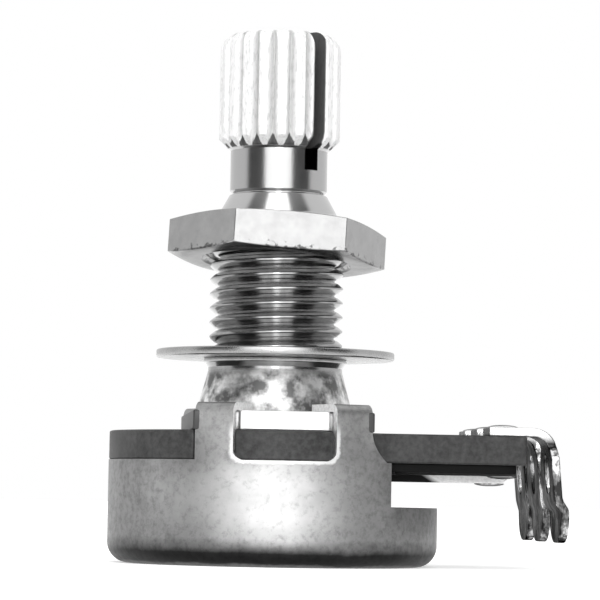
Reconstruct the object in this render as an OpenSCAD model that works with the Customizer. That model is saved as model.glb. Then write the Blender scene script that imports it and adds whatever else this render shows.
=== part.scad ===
// Rotary potentiometer with a split knurled shaft, threaded bushing, folded-tab can and three solder lugs.
// The part stands on the back of its can. The origin is the centre of the can's back face, on the shaft
// axis, +Z runs along the shaft and +X points out along the tongue that carries the lugs.

/* [Can] */
// Outside diameter of the drawn can
can_d = 17.25; // [14:0.05:24]
// Sheet thickness of the can and of its tabs
can_wall = 0.4; // [0.3:0.05:0.6]
// Height of the can's rim above its back face
can_h = 5.35; // [4.8:0.05:9]
// Outside radius of the drawn corner round the back face
can_corner_r = 1.1; // [0.6:0.1:1.6]
// Side gap between the tongue and the window that lets it out
notch_side_gap = 0.3; // [0.1:0.05:0.5]
// Open height of that window below the collector strip
notch_room = 1.35; // [0.8:0.05:2.2]

/* [Folded tabs] */
// Width of each tab
tab_w = 2.05; // [1.6:0.05:2.4]
// Angle from the Y axis to the middle of a tab
tab_angle = 24.4; // [22:0.1:27]
// How far a folded tab reaches in over the front plate
tab_reach = 2.3; // [1.4:0.1:2.8]
// Outside radius of the fold
tab_bend_r = 0.5; // [0.42:0.02:0.7]
// Radius in the corner between a tab and the rim
tab_fillet_r = 0.45; // [0.2:0.05:0.6]
// Width that a tab gains at its foot beside the tongue
tab_flare = 1.0; // [0.5:0.1:1.2]

/* [Wafer] */
// Thickness of the moulded wafer
wafer_t = 1.5; // [1.2:0.05:2.4]
// Width of the wafer's tongue
tongue_w = 12.6; // [12:0.1:13.2]
// Distance from the shaft axis to the end of the tongue
tongue_reach = 12.5; // [11.5:0.1:15]
// Side gap round a tab in the wafer's slots
tab_slot_gap = 0.1; // [0.05:0.05:0.3]
// Radius of the wafer's centre hole
wafer_hole_r = 4.0; // [3.8:0.1:4.6]
// Step from the can's outside in to the wafer's rim
wafer_rim_step = 0.02; // [0.01:0.01:0.1]

/* [Front plate] */
// Thickness of the front plate
plate_t = 1.0; // [0.8:0.05:1.5]
// Distance from the tabs' outer edges out to the front plate's long sides
plate_side_margin = 0.08; // [0:0.02:0.6]
// Distance from the can's outside in to each end of the front plate
plate_end_step = 0.525; // [0.45:0.025:0.8]
// Side gap between the plate's end tongues and the tabs
plate_tab_gap = 0.38; // [0.2:0.02:0.6]
// Setback of the plate's shoulders where the tabs fold over them
plate_setback = 0.62; // [0.5:0.02:0.8]

/* [Resistance element] */
// Thickness of the laminate that carries the track
board_t = 0.45; // [0.35:0.05:0.7]
// Radial gap between the laminate and the inside of the can
board_gap = 0.18; // [0.1:0.02:0.4]
// Radius of the laminate's centre hole
board_hole_r = 2.85; // [2.75:0.05:3.2]
// Distance from the outer lugs' middles out to the laminate's long sides
board_side_margin = 1.0; // [0.8:0.05:1.2]
// Setback of the laminate's end from the end of the tongue
board_setback = 0.5; // [0.3:0.05:1]
// Thickness of the printed carbon track
track_t = 0.1; // [0.05:0.01:0.15]
// Gap between the track and the can's wall
track_side_gap = 0.75; // [0.6:0.05:0.8]
// Gap between the track and the collector's ring
track_ring_gap = 0.75; // [0.6:0.05:0.8]
// Angle from +X to each end of the track
track_end_angle = 22; // [20:1:25]

/* [Collector] */
// Thickness of the collector strip
collector_t = 0.45; // [0.35:0.05:0.6]
// Mean radius of the collector's ring
collector_r = 3.55; // [3.5:0.05:3.7]
// Width of the collector's ring
collector_ring_w = 1.2; // [1:0.05:1.3]
// Width of the arm that runs out under the tongue
collector_arm_w = 2.6; // [2:0.1:3]
// Height of the lip at the arm's end
collector_lip = 0.35; // [0.2:0.05:0.4]
// Thickness of that lip
collector_lip_t = 0.2; // [0.1:0.05:0.3]
// Gap between that lip and the laminate's end
collector_lip_gap = 0.05; // [0.02:0.01:0.1]

/* [Terminals] */
// Distance between neighbouring lugs
lug_pitch = 5.0; // [4.8:0.1:5.2]
// Sheet thickness of a lug
lug_t = 0.43; // [0.35:0.01:0.6]
// Width of a lug where it lies on the tongue
lug_seat_w = 2.6; // [2.2:0.1:3]
// Width of a lug's leg
lug_w = 4.0; // [3.4:0.1:4.2]
// Corner radius of a lug's tip
lug_tip_r = 1.6; // [0.9:0.1:1.7]
// Drop from the tongue's top to where a lug starts to widen
lug_neck_drop = 0.45; // [0.3:0.05:0.6]
// Height over which a lug widens to its leg
lug_widen_h = 0.6; // [0.4:0.05:0.9]
// Distance from the rivets' heads in to the lug's inner end
lug_seat_land = 0.05; // [0.05:0.05:0.5]
// Distance from the end of the tongue out to the lug's outer face above its step
lug_out = 1.75; // [1.6:0.05:2.2]
// Outside radius of the lug's bend
lug_bend_r = 1.2; // [1:0.05:1.4]
// Outward lean of a lug's leg from upright
lug_splay = 5; // [0:0.5:8]
// Outward step of the first lug's leg near its tip
lug_joggle_1 = 0.36; // [0.1:0.02:0.6]
// Outward step of the other two legs near their tips
lug_joggle_2 = 0.16; // [0.1:0.02:0.6]
// Height of the outward step above the can's back face
lug_joggle_z = 3.65; // [3.4:0.05:4.4]
// Height over which that step runs
lug_joggle_h = 0.55; // [0.4:0.05:0.8]
// Height of a lug's tip above the can's back face
lug_tip_z = 1.45; // [0.8:0.05:1.6]
// Width of the oval eye in a lug
eye_w = 1.3; // [1:0.1:1.6]
// Length of the oval eye
eye_l = 2.0; // [1.8:0.1:2.2]
// Height of the eye's middle above the can's back face
eye_z = 5.0; // [4.8:0.1:5.2]

/* [Rivets] */
// Radius of a rivet's shank
rivet_r = 0.45; // [0.4:0.05:0.6]
// Radius of a rivet's heads
rivet_head_r = 0.8; // [0.7:0.05:0.9]
// Thickness of a rivet's heads
rivet_head_t = 0.15; // [0.1:0.05:0.35]
// Radial gap round a rivet's shank
rivet_gap = 0.04; // [0.02:0.01:0.08]
// Laminate left between the rivets' holes and its end
rivet_land = 0.11; // [0.05:0.01:0.4]

/* [Bushing] */
// Outside diameter of the bushing's thread
thread_d = 7.0; // [6.8:0.05:7.2]
// Length of the thread between the collar and the nose
thread_l = 7.6; // [6.5:0.1:10]
// Pitch of the thread, drawn as plain ring grooves
thread_pitch = 0.75; // [0.5:0.05:1]
// Height of the collar above the front plate
collar_h = 2.9; // [2.4:0.1:3.6]
// Diameter of the collar where it meets the front plate
collar_foot_d = 7.9; // [7.8:0.05:8.2]
// Height of the collar's straight foot
collar_foot_h = 0.8; // [0.7:0.05:1]
// Diameter of the collar's waist
collar_waist_d = 7.04; // [6.9:0.02:7.3]
// Distance from the collar's top down to its waist
collar_waist_drop = 0.7; // [0.6:0.05:0.9]
// Length of the waist's straight part
collar_waist_l = 0.25; // [0.1:0.05:0.3]
// Diameter of the lip that carries the loose washer
collar_lip_d = 7.5; // [7.45:0.05:7.7]
// Thickness of that lip
collar_lip_t = 0.25; // [0.15:0.05:0.35]
// Height of the tapered nose above the thread
nose_h = 1.0; // [0.8:0.1:1.4]
// Diameter at the foot of the nose
nose_d = 6.2; // [6:0.05:6.5]
// Diameter at the top of the nose
nose_top_d = 5.15; // [5.1:0.05:5.4]
// Bore of the bushing
bore_d = 4.6; // [4.5:0.05:4.7]
// Diameter of the spigot that is staked in the front plate
spigot_d = 6.0; // [5.8:0.1:6.4]
// Diameter of the staked rim under the front plate
stake_d = 6.7; // [6.5:0.1:7]
// Thickness of the staked rim
stake_t = 0.2; // [0.15:0.05:0.3]

/* [Shaft] */
// Radial gap between the shaft and the bushing's bore
bearing_gap = 0.05; // [0.03:0.01:0.08]
// Diameter of the neck above the bushing
neck_d = 5.1; // [4.9:0.05:5.2]
// Length of the neck
neck_l = 2.35; // [1.6:0.05:3]
// Gap between the neck's shoulder and the bushing's nose
neck_gap = 0.1; // [0.05:0.01:0.2]
// Outside diameter of the knurl
knurl_d = 6.35; // [6:0.05:6.4]
// Length of the knurled end
knurl_l = 6.1; // [5:0.1:9]
// Number of teeth round the knurl
knurl_teeth = 20; // [18:1:24]
// Depth of the knurl's valleys
knurl_depth = 0.4; // [0.2:0.02:0.5]
// Width of a tooth's crest
knurl_crest_w = 0.44; // [0.2:0.02:0.5]
// Width of a valley's floor
knurl_floor_w = 0.12; // [0.04:0.02:0.2]
// Angle from the saw slot to a tooth's crest
knurl_turn = 14; // [0:0.5:17.5]
// Radius that rounds the top of the knurled end
knurl_round_r = 1.0; // [0.6:0.1:1.2]
// Chamfer at the foot of the knurled end
knurl_chamfer = 0.5; // [0.3:0.05:0.6]
// Width of the saw slot
slot_w = 0.85; // [0.6:0.05:1]
// Depth of the saw slot
slot_depth = 7.3; // [5:0.1:7.8]
// Angle from +X to the saw slot at rest
slot_angle = -52; // [-90:0.5:90]
// Diameter of the drive end in the rotor
drive_d = 3.8; // [3.6:0.05:4]
// Distance across the drive end's two flats
drive_flats = 2.8; // [2.5:0.05:3.2]

/* [Clip and thrust washer] */
// Thickness of the retaining clip
clip_t = 0.38; // [0.3:0.02:0.45]
// Outside diameter of the clip
clip_d = 6.4; // [6:0.1:6.8]
// Width of the clip's mouth
clip_mouth_w = 2.95; // [2.6:0.05:3.1]
// Diameter of the clip's groove
groove_d = 3.6; // [3.4:0.05:3.8]
// Thickness of the thrust washer
thrust_t = 0.24; // [0.2:0.02:0.3]
// Outside diameter of the thrust washer
thrust_d = 7.0; // [6.8:0.1:7.4]
// Running gap at each side of the thrust washer
thrust_gap = 0.03; // [0.02:0.01:0.05]

/* [Rotor and wiper] */
// Radial gap between the rotor's disc and the can's wall
rotor_side_gap = 2.375; // [2.3:0.025:2.6]
// Thickness of the rotor's disc
rotor_t = 1.9; // [1.5:0.1:2]
// Radius of the rotor's hub
hub_r = 2.5; // [2.4:0.05:2.55]
// Height of the hub above the disc
hub_h = 0.6; // [0.4:0.1:0.8]
// Gap between the disc and the collector
wiper_room = 1.1; // [1:0.05:1.2]
// Thickness of the wiper's sheet
wiper_t = 0.15; // [0.1:0.01:0.18]
// Width of one wiper finger
finger_w = 0.3; // [0.2:0.02:0.36]
// Gap between the two fingers of a pair
finger_gap = 0.14; // [0.1:0.02:0.2]
// Length of the crown at a finger's contact, to each side
finger_crown = 0.35; // [0.3:0.01:0.4]
// Length of the fingers' ramp
finger_l = 2.2; // [1.8:0.1:2.4]
// Gap that is left at a finger's contact
contact_gap = 0.03; // [0.02:0.01:0.05]
// Turn from the middle to each end of travel
half_travel = 150; // [140:1:150]
// Angle that is left at the stop at each end of travel
stop_clear_angle = 1.5; // [1:0.1:3]
// Width of the pad that the fingers spring from
wiper_pad_w = 1.0; // [0.8:0.05:1.2]
// Radius of the inward dent that stops the rotor
dent_r = 1.45; // [1.3:0.05:1.5]
// Radial reach of the rotor's stop lug
lug_stop_reach = 1.9; // [1.8:0.05:1.95]

/* [Nut and washer] */
// Distance across the nut's flats
nut_flats = 10.0; // [9:0.1:12]
// Thickness of the nut
nut_t = 2.0; // [1.6:0.1:2.8]
// Plain bore of the nut, which lets it stand askew on the thread
nut_bore = 7.4; // [7.4:0.01:7.6]
// Height of the nut's middle above the foot of the thread
nut_lift = 6.05; // [4.5:0.05:6.2]
// Height of the chamfer at the nut's corners
nut_chamfer_h = 0.55; // [0.3:0.05:0.7]
// Turn of the nut about the shaft axis
nut_turn = 3.5; // [-30:0.5:30]
// Lean of the nut to the right, down at +X
nut_lean_x = 3.0; // [0:0.1:3.2]
// Lean of the nut toward the back, up at -Y
nut_lean_y = 5.0; // [0:0.1:5.2]
// Outside diameter of the flat washer
washer_d = 12.5; // [11:0.1:14]
// Bore of the flat washer
washer_bore = 7.3; // [7.25:0.01:7.35]
// Thickness of the flat washer
washer_t = 0.42; // [0.3:0.02:0.6]

/* [Hidden] */
$fn = 72;

// Cuts reach this far past the faces that they open.
eps = 0.5;

can_r = can_d / 2;
can_in_r = can_r - can_wall;

// Side places of a tab's two edges, measured from the Y axis
tab_in_x = can_r * sin(tab_angle) - tab_w / 2 * cos(tab_angle);
tab_out_x = can_r * sin(tab_angle) + tab_w / 2 * cos(tab_angle);

// Heights, from the can's back face up
wafer_z = can_h;
plate_z = wafer_z + wafer_t;
plate_top = plate_z + plate_t;
tab_top = plate_top + can_wall;
board_z = wafer_z - board_t;
track_z = board_z - track_t;
collector_z = board_z - collector_t;
notch_floor = collector_z - notch_room;
collar_top = plate_top + collar_h;
thread_top = collar_top + thread_l;
nose_top = thread_top + nose_h;
neck_z = nose_top + neck_gap;
knurl_z = neck_z + neck_l;
shaft_top = knurl_z + knurl_l;

// Heights under the front plate, from the plate down
stake_z = plate_z - stake_t;
thrust_z = stake_z - thrust_gap - thrust_t;
clip_z = thrust_z - thrust_gap - clip_t;
clip_lip_t = 0.3;
journal_z = clip_z - clip_lip_t;
rotor_top = collector_z - wiper_room;
rotor_z = rotor_top - rotor_t;
drive_end_l = 0.5;
drive_z = rotor_z - drive_end_l;

// Widths and radii that follow the can, the lugs and the collector
plate_w = 2 * (tab_out_x + plate_side_margin);
plate_l = 2 * (can_r - plate_end_step);
plate_end_w = 2 * (tab_in_x - plate_tab_gap);
board_tail_w = 2 * (lug_pitch + board_side_margin);
collector_out_r = collector_r + collector_ring_w / 2;
track_out_r = can_in_r - track_side_gap;
track_in_r = collector_out_r + track_ring_gap;
track_r = (track_out_r + track_in_r) / 2;
rotor_r = can_in_r - rotor_side_gap;
journal_d = bore_d - 2 * bearing_gap;

// The thread's groove, in shares of its pitch as a metric thread has them
thread_depth = 0.6 * thread_pitch;
thread_flat = 0.08 * thread_pitch;

// Places along the tongue, from its end in
board_end = tongue_reach - board_setback;
rivet_hole_r = rivet_r + rivet_gap;
rivet_x = board_end - rivet_land - rivet_hole_r;
lug_in_x = rivet_x - rivet_head_r - lug_seat_land;
arm_end = board_end + collector_lip_gap + collector_lip_t;

lug_ys = [-lug_pitch, 0, lug_pitch];
tab_angles = [-tab_angle, tab_angle, 180 - tab_angle, 180 + tab_angle];

// Points of an arc from angle a0 to a1, the ends included
function arc(x, y, r, a0, a1, steps = 6) =
    [for (i = [0:steps]) [x + r * cos(a0 + (a1 - a0) * i / steps), y + r * sin(a0 + (a1 - a0) * i / steps)]];

// A flat ring
module ring(outer_r, inner_r, z, h) {
    translate([0, 0, z]) difference() {
        cylinder(r = outer_r, h = h);
        translate([0, 0, -eps]) cylinder(r = inner_r, h = h + 2 * eps);
    }
}

// An outline drawn in X and Z, made solid along Y from y0 to y1
module along_y(points, y0, y1) {
    translate([0, y1, 0]) rotate([90, 0, 0]) linear_extrude(y1 - y0) polygon(points);
}

// The can's drawn cup
module cup() {
    inner_corner = can_corner_r - can_wall;
    rotate_extrude() polygon(concat(
        [[0, 0]], arc(can_r - can_corner_r, can_corner_r, can_corner_r, -90, 0),
        [[can_r, can_h], [can_in_r, can_h]],
        arc(can_in_r - inner_corner, can_wall + inner_corner, inner_corner, 0, -90),
        [[0, can_wall]]));
}

// One tab, drawn toward -Y: up from the rim, then folded in over the front plate
module folded_tab() {
    inner_bend = tab_bend_r - can_wall;
    bend_y = -can_r + tab_bend_r;
    bend_z = tab_top - tab_bend_r;
    profile = concat(
        [[-can_r, can_h - can_wall]],
        arc(bend_y, bend_z, tab_bend_r, 180, 90),
        [[-can_r + can_wall + tab_reach, tab_top], [-can_r + can_wall + tab_reach, plate_top]],
        arc(bend_y, bend_z, inner_bend, 90, 180, 3),
        [[-can_in_r, can_h - can_wall]]);
    intersection() {
        translate([-tab_w / 2, 0, 0]) rotate([90, 0, 90]) linear_extrude(tab_w) polygon(profile);
        cylinder(r = can_r, h = tab_top + eps);
    }
}

// The wall beside a tab's foot: a fillet in the window between two tabs, a flare beside the tongue
module tab_feet() {
    root = can_wall;
    flare_h = 1.6 * tab_flare;
    fillet_z = can_h + tab_fillet_r;
    flare_curve = [[0, 0.85], [0.12, 0.5], [0.4, 0.2], [0.9, 0]];
    intersection() {
        ring(can_r, can_in_r, can_h - root, flare_h + root);
        union() {
            for (side = [0, 1]) mirror([side, 0, 0]) {
                along_y(concat([[tab_in_x + root, can_h - root / 2], [tab_in_x + root, fillet_z]],
                    arc(tab_in_x - tab_fillet_r, fillet_z, tab_fillet_r, 0, -90),
                    [[tab_in_x - tab_fillet_r, can_h - root / 2]]), -can_r, can_r);
            }
            along_y(concat([[tab_out_x - root, can_h - root / 2], [tab_out_x - root, can_h + flare_h]],
                [for (p = flare_curve) [tab_out_x + p[0] * tab_flare, can_h + p[1] * flare_h]],
                [[tab_out_x + flare_curve[3][0] * tab_flare, can_h - root / 2]]), -can_r, can_r);
        }
    }
}

// The dent in the can's wall, drawn inward at +Y, that the rotor's lug runs against
dent_y = can_in_r + 0.12;
dent_top = rotor_top - 0.2;

// The can: the cup, its four tabs, the window under the tongue and the stop dent
module can() {
    notch_w = tongue_w + 2 * notch_side_gap;
    color("silver") difference() {
        union() {
            cup();
            for (a = tab_angles) rotate([0, 0, a]) folded_tab();
            tab_feet();
            intersection() {
                translate([0, dent_y, can_wall / 2]) cylinder(r = dent_r, h = dent_top - can_wall / 2);
                cylinder(r = can_r - can_wall / 2, h = can_h);
            }
        }
        translate([0, -notch_w / 2, notch_floor]) cube([can_r + eps, notch_w, plate_top]);
        translate([0, dent_y, can_corner_r])
            cylinder(r = dent_r - can_wall, h = dent_top - can_wall - can_corner_r);
    }
}

// The slots that let the four tabs past a plate of the wafer's size
module tab_slots(z, h) {
    slot_w2 = tab_w + 2 * tab_slot_gap;
    slot_deep = can_wall + tab_slot_gap;
    for (a = tab_angles) rotate([0, 0, a])
        translate([-slot_w2 / 2, -can_r - eps, z - eps]) cube([slot_w2, slot_deep + eps, h + 2 * eps]);
}

module wafer() {
    color("dimgray") difference() {
        union() {
            translate([0, 0, wafer_z]) cylinder(r = can_r - wafer_rim_step, h = wafer_t);
            translate([0, -tongue_w / 2, wafer_z]) cube([tongue_reach, tongue_w, wafer_t]);
        }
        translate([0, 0, wafer_z - eps]) cylinder(r = wafer_hole_r, h = wafer_t + 2 * eps);
        tab_slots(wafer_z, wafer_t);
        wafer_flare_slots();
        for (y = lug_ys) translate([rivet_x, y, wafer_z - eps])
            cylinder(r = rivet_hole_r, h = wafer_t + 2 * eps);
    }
}

// The slots widened for the flared feet and the filleted feet of the tabs
module wafer_flare_slots() {
    deep_r = can_in_r - tab_slot_gap;
    fillet_room = tab_fillet_r + tab_slot_gap;
    difference() {
        union() {
            for (side = [-1, 1]) for (face = [-1, 1])
                translate([side * tab_in_x - (side > 0 ? fillet_room : 0), face > 0 ? 0 : -can_r - eps,
                    wafer_z - eps]) cube([fillet_room, can_r + eps, eps + fillet_room]);
            for (face = [-1, 1])
                translate([tab_out_x - tab_slot_gap, face > 0 ? tongue_w / 2 : -can_r - eps, wafer_z - eps])
                    cube([tab_flare + eps, can_r + eps - tongue_w / 2, wafer_t + 2 * eps]);
        }
        translate([0, 0, wafer_z - 2 * eps]) cylinder(r = deep_r, h = wafer_t + 4 * eps);
    }
}

module front_plate() {
    color("gainsboro") difference() {
        union() {
            translate([-plate_end_w / 2, -plate_l / 2, plate_z]) cube([plate_end_w, plate_l, plate_t]);
            translate([-plate_w / 2, -plate_l / 2 + plate_setback, plate_z])
                cube([plate_w, plate_l - 2 * plate_setback, plate_t]);
        }
        translate([0, 0, plate_z - eps]) cylinder(d = spigot_d, h = plate_t + 2 * eps);
        plate_tab_clearance();
    }
}

// The plate's corners are cut back where the tabs rise past them
module plate_tab_clearance() {
    cut_r = can_in_r - tab_slot_gap;
    for (a = tab_angles) rotate([0, 0, a])
        translate([-can_r, -can_r - eps, plate_z - eps])
            cube([2 * can_r, can_r + eps - cut_r, plate_t + 2 * eps]);
}

module resistance_element() {
    color("black") difference() {
        union() {
            translate([0, 0, board_z]) cylinder(r = can_in_r - board_gap, h = board_t);
            translate([0, -board_tail_w / 2, board_z]) cube([board_end, board_tail_w, board_t]);
        }
        translate([0, 0, board_z - eps]) cylinder(r = board_hole_r, h = board_t + 2 * eps);
        for (y = lug_ys) translate([rivet_x, y, board_z - eps])
            cylinder(r = rivet_hole_r, h = board_t + 2 * eps);
    }
}

// The printed horseshoe and the two printed leads that run out to the outer lugs
module carbon_track() {
    lead_w = 2 * rivet_head_r + 0.2;
    root_x = track_in_r * cos(track_end_angle);
    root_y = track_r * sin(track_end_angle);
    mouth_x = track_out_r * cos(track_end_angle) + eps;
    mouth_y = mouth_x * tan(track_end_angle);
    color("black") translate([0, 0, track_z]) difference() {
        union() {
            difference() {
                cylinder(r = track_out_r, h = track_t);
                translate([0, 0, -eps]) cylinder(r = track_in_r, h = track_t + 2 * eps);
                translate([0, 0, -eps]) linear_extrude(track_t + 2 * eps)
                    polygon([[0, 0], [mouth_x, -mouth_y], [track_out_r + eps, 0], [mouth_x, mouth_y]]);
            }
            for (side = [0, 1]) mirror([0, side, 0]) linear_extrude(track_t) polygon([
                [root_x, root_y], [board_end, lug_pitch - lead_w / 2],
                [board_end, lug_pitch + lead_w / 2], [root_x, root_y + lead_w]]);
        }
        for (side = [-1, 1]) translate([rivet_x, side * lug_pitch, -eps])
            cylinder(r = rivet_hole_r, h = track_t + 2 * eps);
    }
}

// The pick-off ring with the arm that runs out under the tongue to the middle lug
module collector() {
    ring_in = collector_out_r - collector_ring_w;
    color("silver") difference() {
        union() {
            translate([0, 0, collector_z]) cylinder(r = collector_out_r, h = collector_t);
            translate([0, -collector_arm_w / 2, collector_z]) cube([arm_end, collector_arm_w, collector_t]);
            translate([arm_end - collector_lip_t, -collector_arm_w / 2, collector_z])
                cube([collector_lip_t, collector_arm_w, collector_t + collector_lip]);
        }
        translate([0, 0, collector_z - eps]) cylinder(r = ring_in, h = collector_t + 2 * eps);
        translate([rivet_x, 0, collector_z - eps])
            cylinder(r = rivet_hole_r, h = collector_t + 2 * eps);
    }
}

// A lug's side outline in X and Z: along the tongue, over its end, down with a slight outward lean, and a
// small outward step near the tip
function lug_side(joggle) =
    let (top = plate_z + lug_t, bend_z = top - lug_bend_r, inner_r = lug_bend_r - lug_t,
        slope = tan(lug_splay),
        out_x = tongue_reach + lug_out,
        lean_in = (bend_z - lug_joggle_z) * slope,
        bend_x = out_x - lean_in - lug_bend_r * (cos(lug_splay) + sin(lug_splay) * slope))
    concat([[lug_in_x, top]], arc(bend_x, bend_z, lug_bend_r, 90, lug_splay, 8),
        [[out_x, lug_joggle_z], [out_x + joggle, lug_joggle_z - lug_joggle_h],
        [out_x + joggle, lug_tip_z - eps], [out_x + joggle - lug_t, lug_tip_z - eps],
        [out_x + joggle - lug_t, lug_joggle_z - lug_joggle_h], [out_x - lug_t, lug_joggle_z]],
        arc(bend_x, bend_z, inner_r, lug_splay, 90, 6), [[lug_in_x, plate_z]]);

// A lug's outline from the front, in Y and Z: a narrow seat, a full-width leg and a rounded tip
function lug_front() =
    let (seat_z = plate_z + 2 * lug_t, seat = lug_seat_w / 2, leg = lug_w / 2,
        neck_z = plate_z - lug_neck_drop, leg_z = neck_z - lug_widen_h, tip_z = lug_tip_z + lug_tip_r)
    concat([[seat, seat_z], [seat, neck_z], [leg, leg_z]],
        arc(leg - lug_tip_r, tip_z, lug_tip_r, 0, -90), arc(lug_tip_r - leg, tip_z, lug_tip_r, -90, -180),
        [[-leg, leg_z], [-seat, neck_z], [-seat, seat_z]]);

module terminal(y, joggle) {
    eye_dz = (eye_l - eye_w) / 2;
    eye_depth = lug_out + lug_joggle_1 + eps;
    color("silver") translate([0, y, 0]) difference() {
        intersection() {
            along_y(lug_side(joggle), -lug_w / 2, lug_w / 2);
            rotate([90, 0, 90]) linear_extrude(tongue_reach + eye_depth) polygon(lug_front());
        }
        for (dz = [-eye_dz, eye_dz])
            translate([tongue_reach, 0, eye_z + dz]) rotate([0, 90, 0]) cylinder(d = eye_w, h = eye_depth);
        translate([tongue_reach, -eye_w / 2, eye_z - eye_dz]) cube([eye_depth, eye_w, 2 * eye_dz]);
        translate([rivet_x, 0, plate_z - eps]) cylinder(r = rivet_hole_r, h = lug_t + 2 * eps);
    }
}
module terminal_1() { terminal(lug_ys[0], lug_joggle_1); }
module terminal_2() { terminal(lug_ys[1], lug_joggle_2); }
module terminal_3() { terminal(lug_ys[2], lug_joggle_2); }

// A rivet that clinches a lug, the tongue and the sheet whose underside is at foot_z
module rivet(y, foot_z) {
    head_z = plate_z + lug_t;
    color("gainsboro") translate([rivet_x, y, 0]) {
        translate([0, 0, foot_z - rivet_head_t])
            cylinder(r1 = rivet_head_r - rivet_head_t / 2, r2 = rivet_head_r, h = rivet_head_t);
        translate([0, 0, foot_z - rivet_head_t / 2])
            cylinder(r = rivet_r, h = head_z - foot_z + rivet_head_t);
        translate([0, 0, head_z])
            cylinder(r1 = rivet_head_r, r2 = rivet_head_r - rivet_head_t / 2, h = rivet_head_t);
    }
}
module rivet_1() { rivet(lug_ys[0], track_z); }
module rivet_2() { rivet(lug_ys[1], collector_z); }
module rivet_3() { rivet(lug_ys[2], track_z); }

// The thread's outline in radius and height: ring grooves with 60 degree flanks, one for each pitch
function thread_outline() =
    let (tip = thread_d / 2, root = tip - thread_depth, half = thread_flat + thread_depth * tan(30),
        count = 1 + floor((thread_l - 2 * half) / thread_pitch),
        first = collar_top + (thread_l - (count - 1) * thread_pitch) / 2)
    [for (i = [0:count - 1])
        for (p = [[tip, -half], [root, -thread_flat], [root, thread_flat], [tip, half]])
        [p[0], first + i * thread_pitch + p[1]]];

// The bushing: spigot through the plate with a staked rim, waisted collar, thread and tapered nose
module bushing() {
    waist_r = collar_waist_d / 2;
    waist_z = collar_top - collar_waist_drop;
    lip_r = collar_lip_d / 2;
    color("silver") difference() {
        rotate_extrude() polygon(concat(
            [[0, stake_z], [stake_d / 2, stake_z], [spigot_d / 2, plate_z], [spigot_d / 2, plate_top],
            [collar_foot_d / 2, plate_top], [collar_foot_d / 2, plate_top + collar_foot_h],
            [waist_r, waist_z], [waist_r, waist_z + collar_waist_l], [lip_r, collar_top - collar_lip_t],
            [lip_r, collar_top], [thread_d / 2, collar_top]],
            thread_outline(), [[thread_d / 2, thread_top], [nose_d / 2, thread_top],
            [nose_top_d / 2, nose_top], [0, nose_top]]));
        translate([0, 0, stake_z - eps]) cylinder(d = bore_d, h = nose_top - stake_z + 2 * eps);
    }
}

// The knurl's outline: narrow crests with open valleys between them
function knurl_outline() =
    let (step = 360 / knurl_teeth, tip = knurl_d / 2, root = tip - knurl_depth,
        crest = 90 * knurl_crest_w / (PI * tip), floor_a = 90 * knurl_floor_w / (PI * root))
    [for (i = [0:knurl_teeth - 1])
        for (p = [[-crest, tip], [crest, tip], [step / 2 - floor_a, root], [step / 2 + floor_a, root]])
            let (a = knurl_turn + i * step + p[0]) [p[1] * cos(a), p[1] * sin(a)]];

// The split knurled end, rounded at the top and chamfered at the foot
module knurled_end() {
    r = knurl_d / 2;
    intersection() {
        translate([0, 0, knurl_z]) linear_extrude(knurl_l) polygon(knurl_outline());
        rotate_extrude() polygon(concat(
            [[0, knurl_z], [r - knurl_chamfer, knurl_z], [r + 0.01, knurl_z + knurl_chamfer + 0.01]],
            arc(r + 0.01 - knurl_round_r, shaft_top - knurl_round_r, knurl_round_r, 0, 90),
            [[0, shaft_top]]));
    }
}

module shaft() {
    color("gainsboro") rotate([0, 0, slot_angle]) difference() {
        union() {
            intersection() {
                translate([0, 0, drive_z]) cylinder(d = drive_d, h = journal_z - drive_z + clip_lip_t / 2);
                translate([-drive_d / 2, -drive_flats / 2, drive_z])
                    cube([drive_d, drive_flats, journal_z - drive_z + clip_lip_t / 2]);
            }
            translate([0, 0, journal_z]) cylinder(d = journal_d, h = clip_lip_t);
            translate([0, 0, journal_z]) cylinder(d = groove_d, h = thrust_z - journal_z + eps / 2);
            translate([0, 0, thrust_z - thrust_gap / 2])
                cylinder(d = journal_d, h = neck_z - thrust_z + thrust_gap);
            translate([0, 0, neck_z]) cylinder(d = neck_d, h = neck_l + knurl_l / 4);
            knurled_end();
        }
        translate([-knurl_d, -slot_w / 2, shaft_top - slot_depth])
            cube([2 * knurl_d, slot_w, slot_depth + eps]);
    }
}

module retaining_clip() {
    inner_r = groove_d / 2 + thrust_gap;
    color("silver") rotate([0, 0, slot_angle]) difference() {
        ring(clip_d / 2, inner_r, clip_z, clip_t);
        translate([0, -clip_mouth_w / 2, clip_z - eps]) cube([clip_d, clip_mouth_w, clip_t + 2 * eps]);
    }
}

module thrust_washer() {
    color("gainsboro") ring(thrust_d / 2, journal_d / 2 + bearing_gap, thrust_z, thrust_t);
}

// Half the angle of the rotor's stop lug, worked out from the dent and the travel
stop_r = rotor_r + lug_stop_reach;
dent_half_angle = acos((pow(stop_r, 2) + pow(dent_y, 2) - pow(dent_r, 2)) / (2 * stop_r * dent_y));
stop_half_angle = 180 - half_travel - dent_half_angle - stop_clear_angle;

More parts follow.
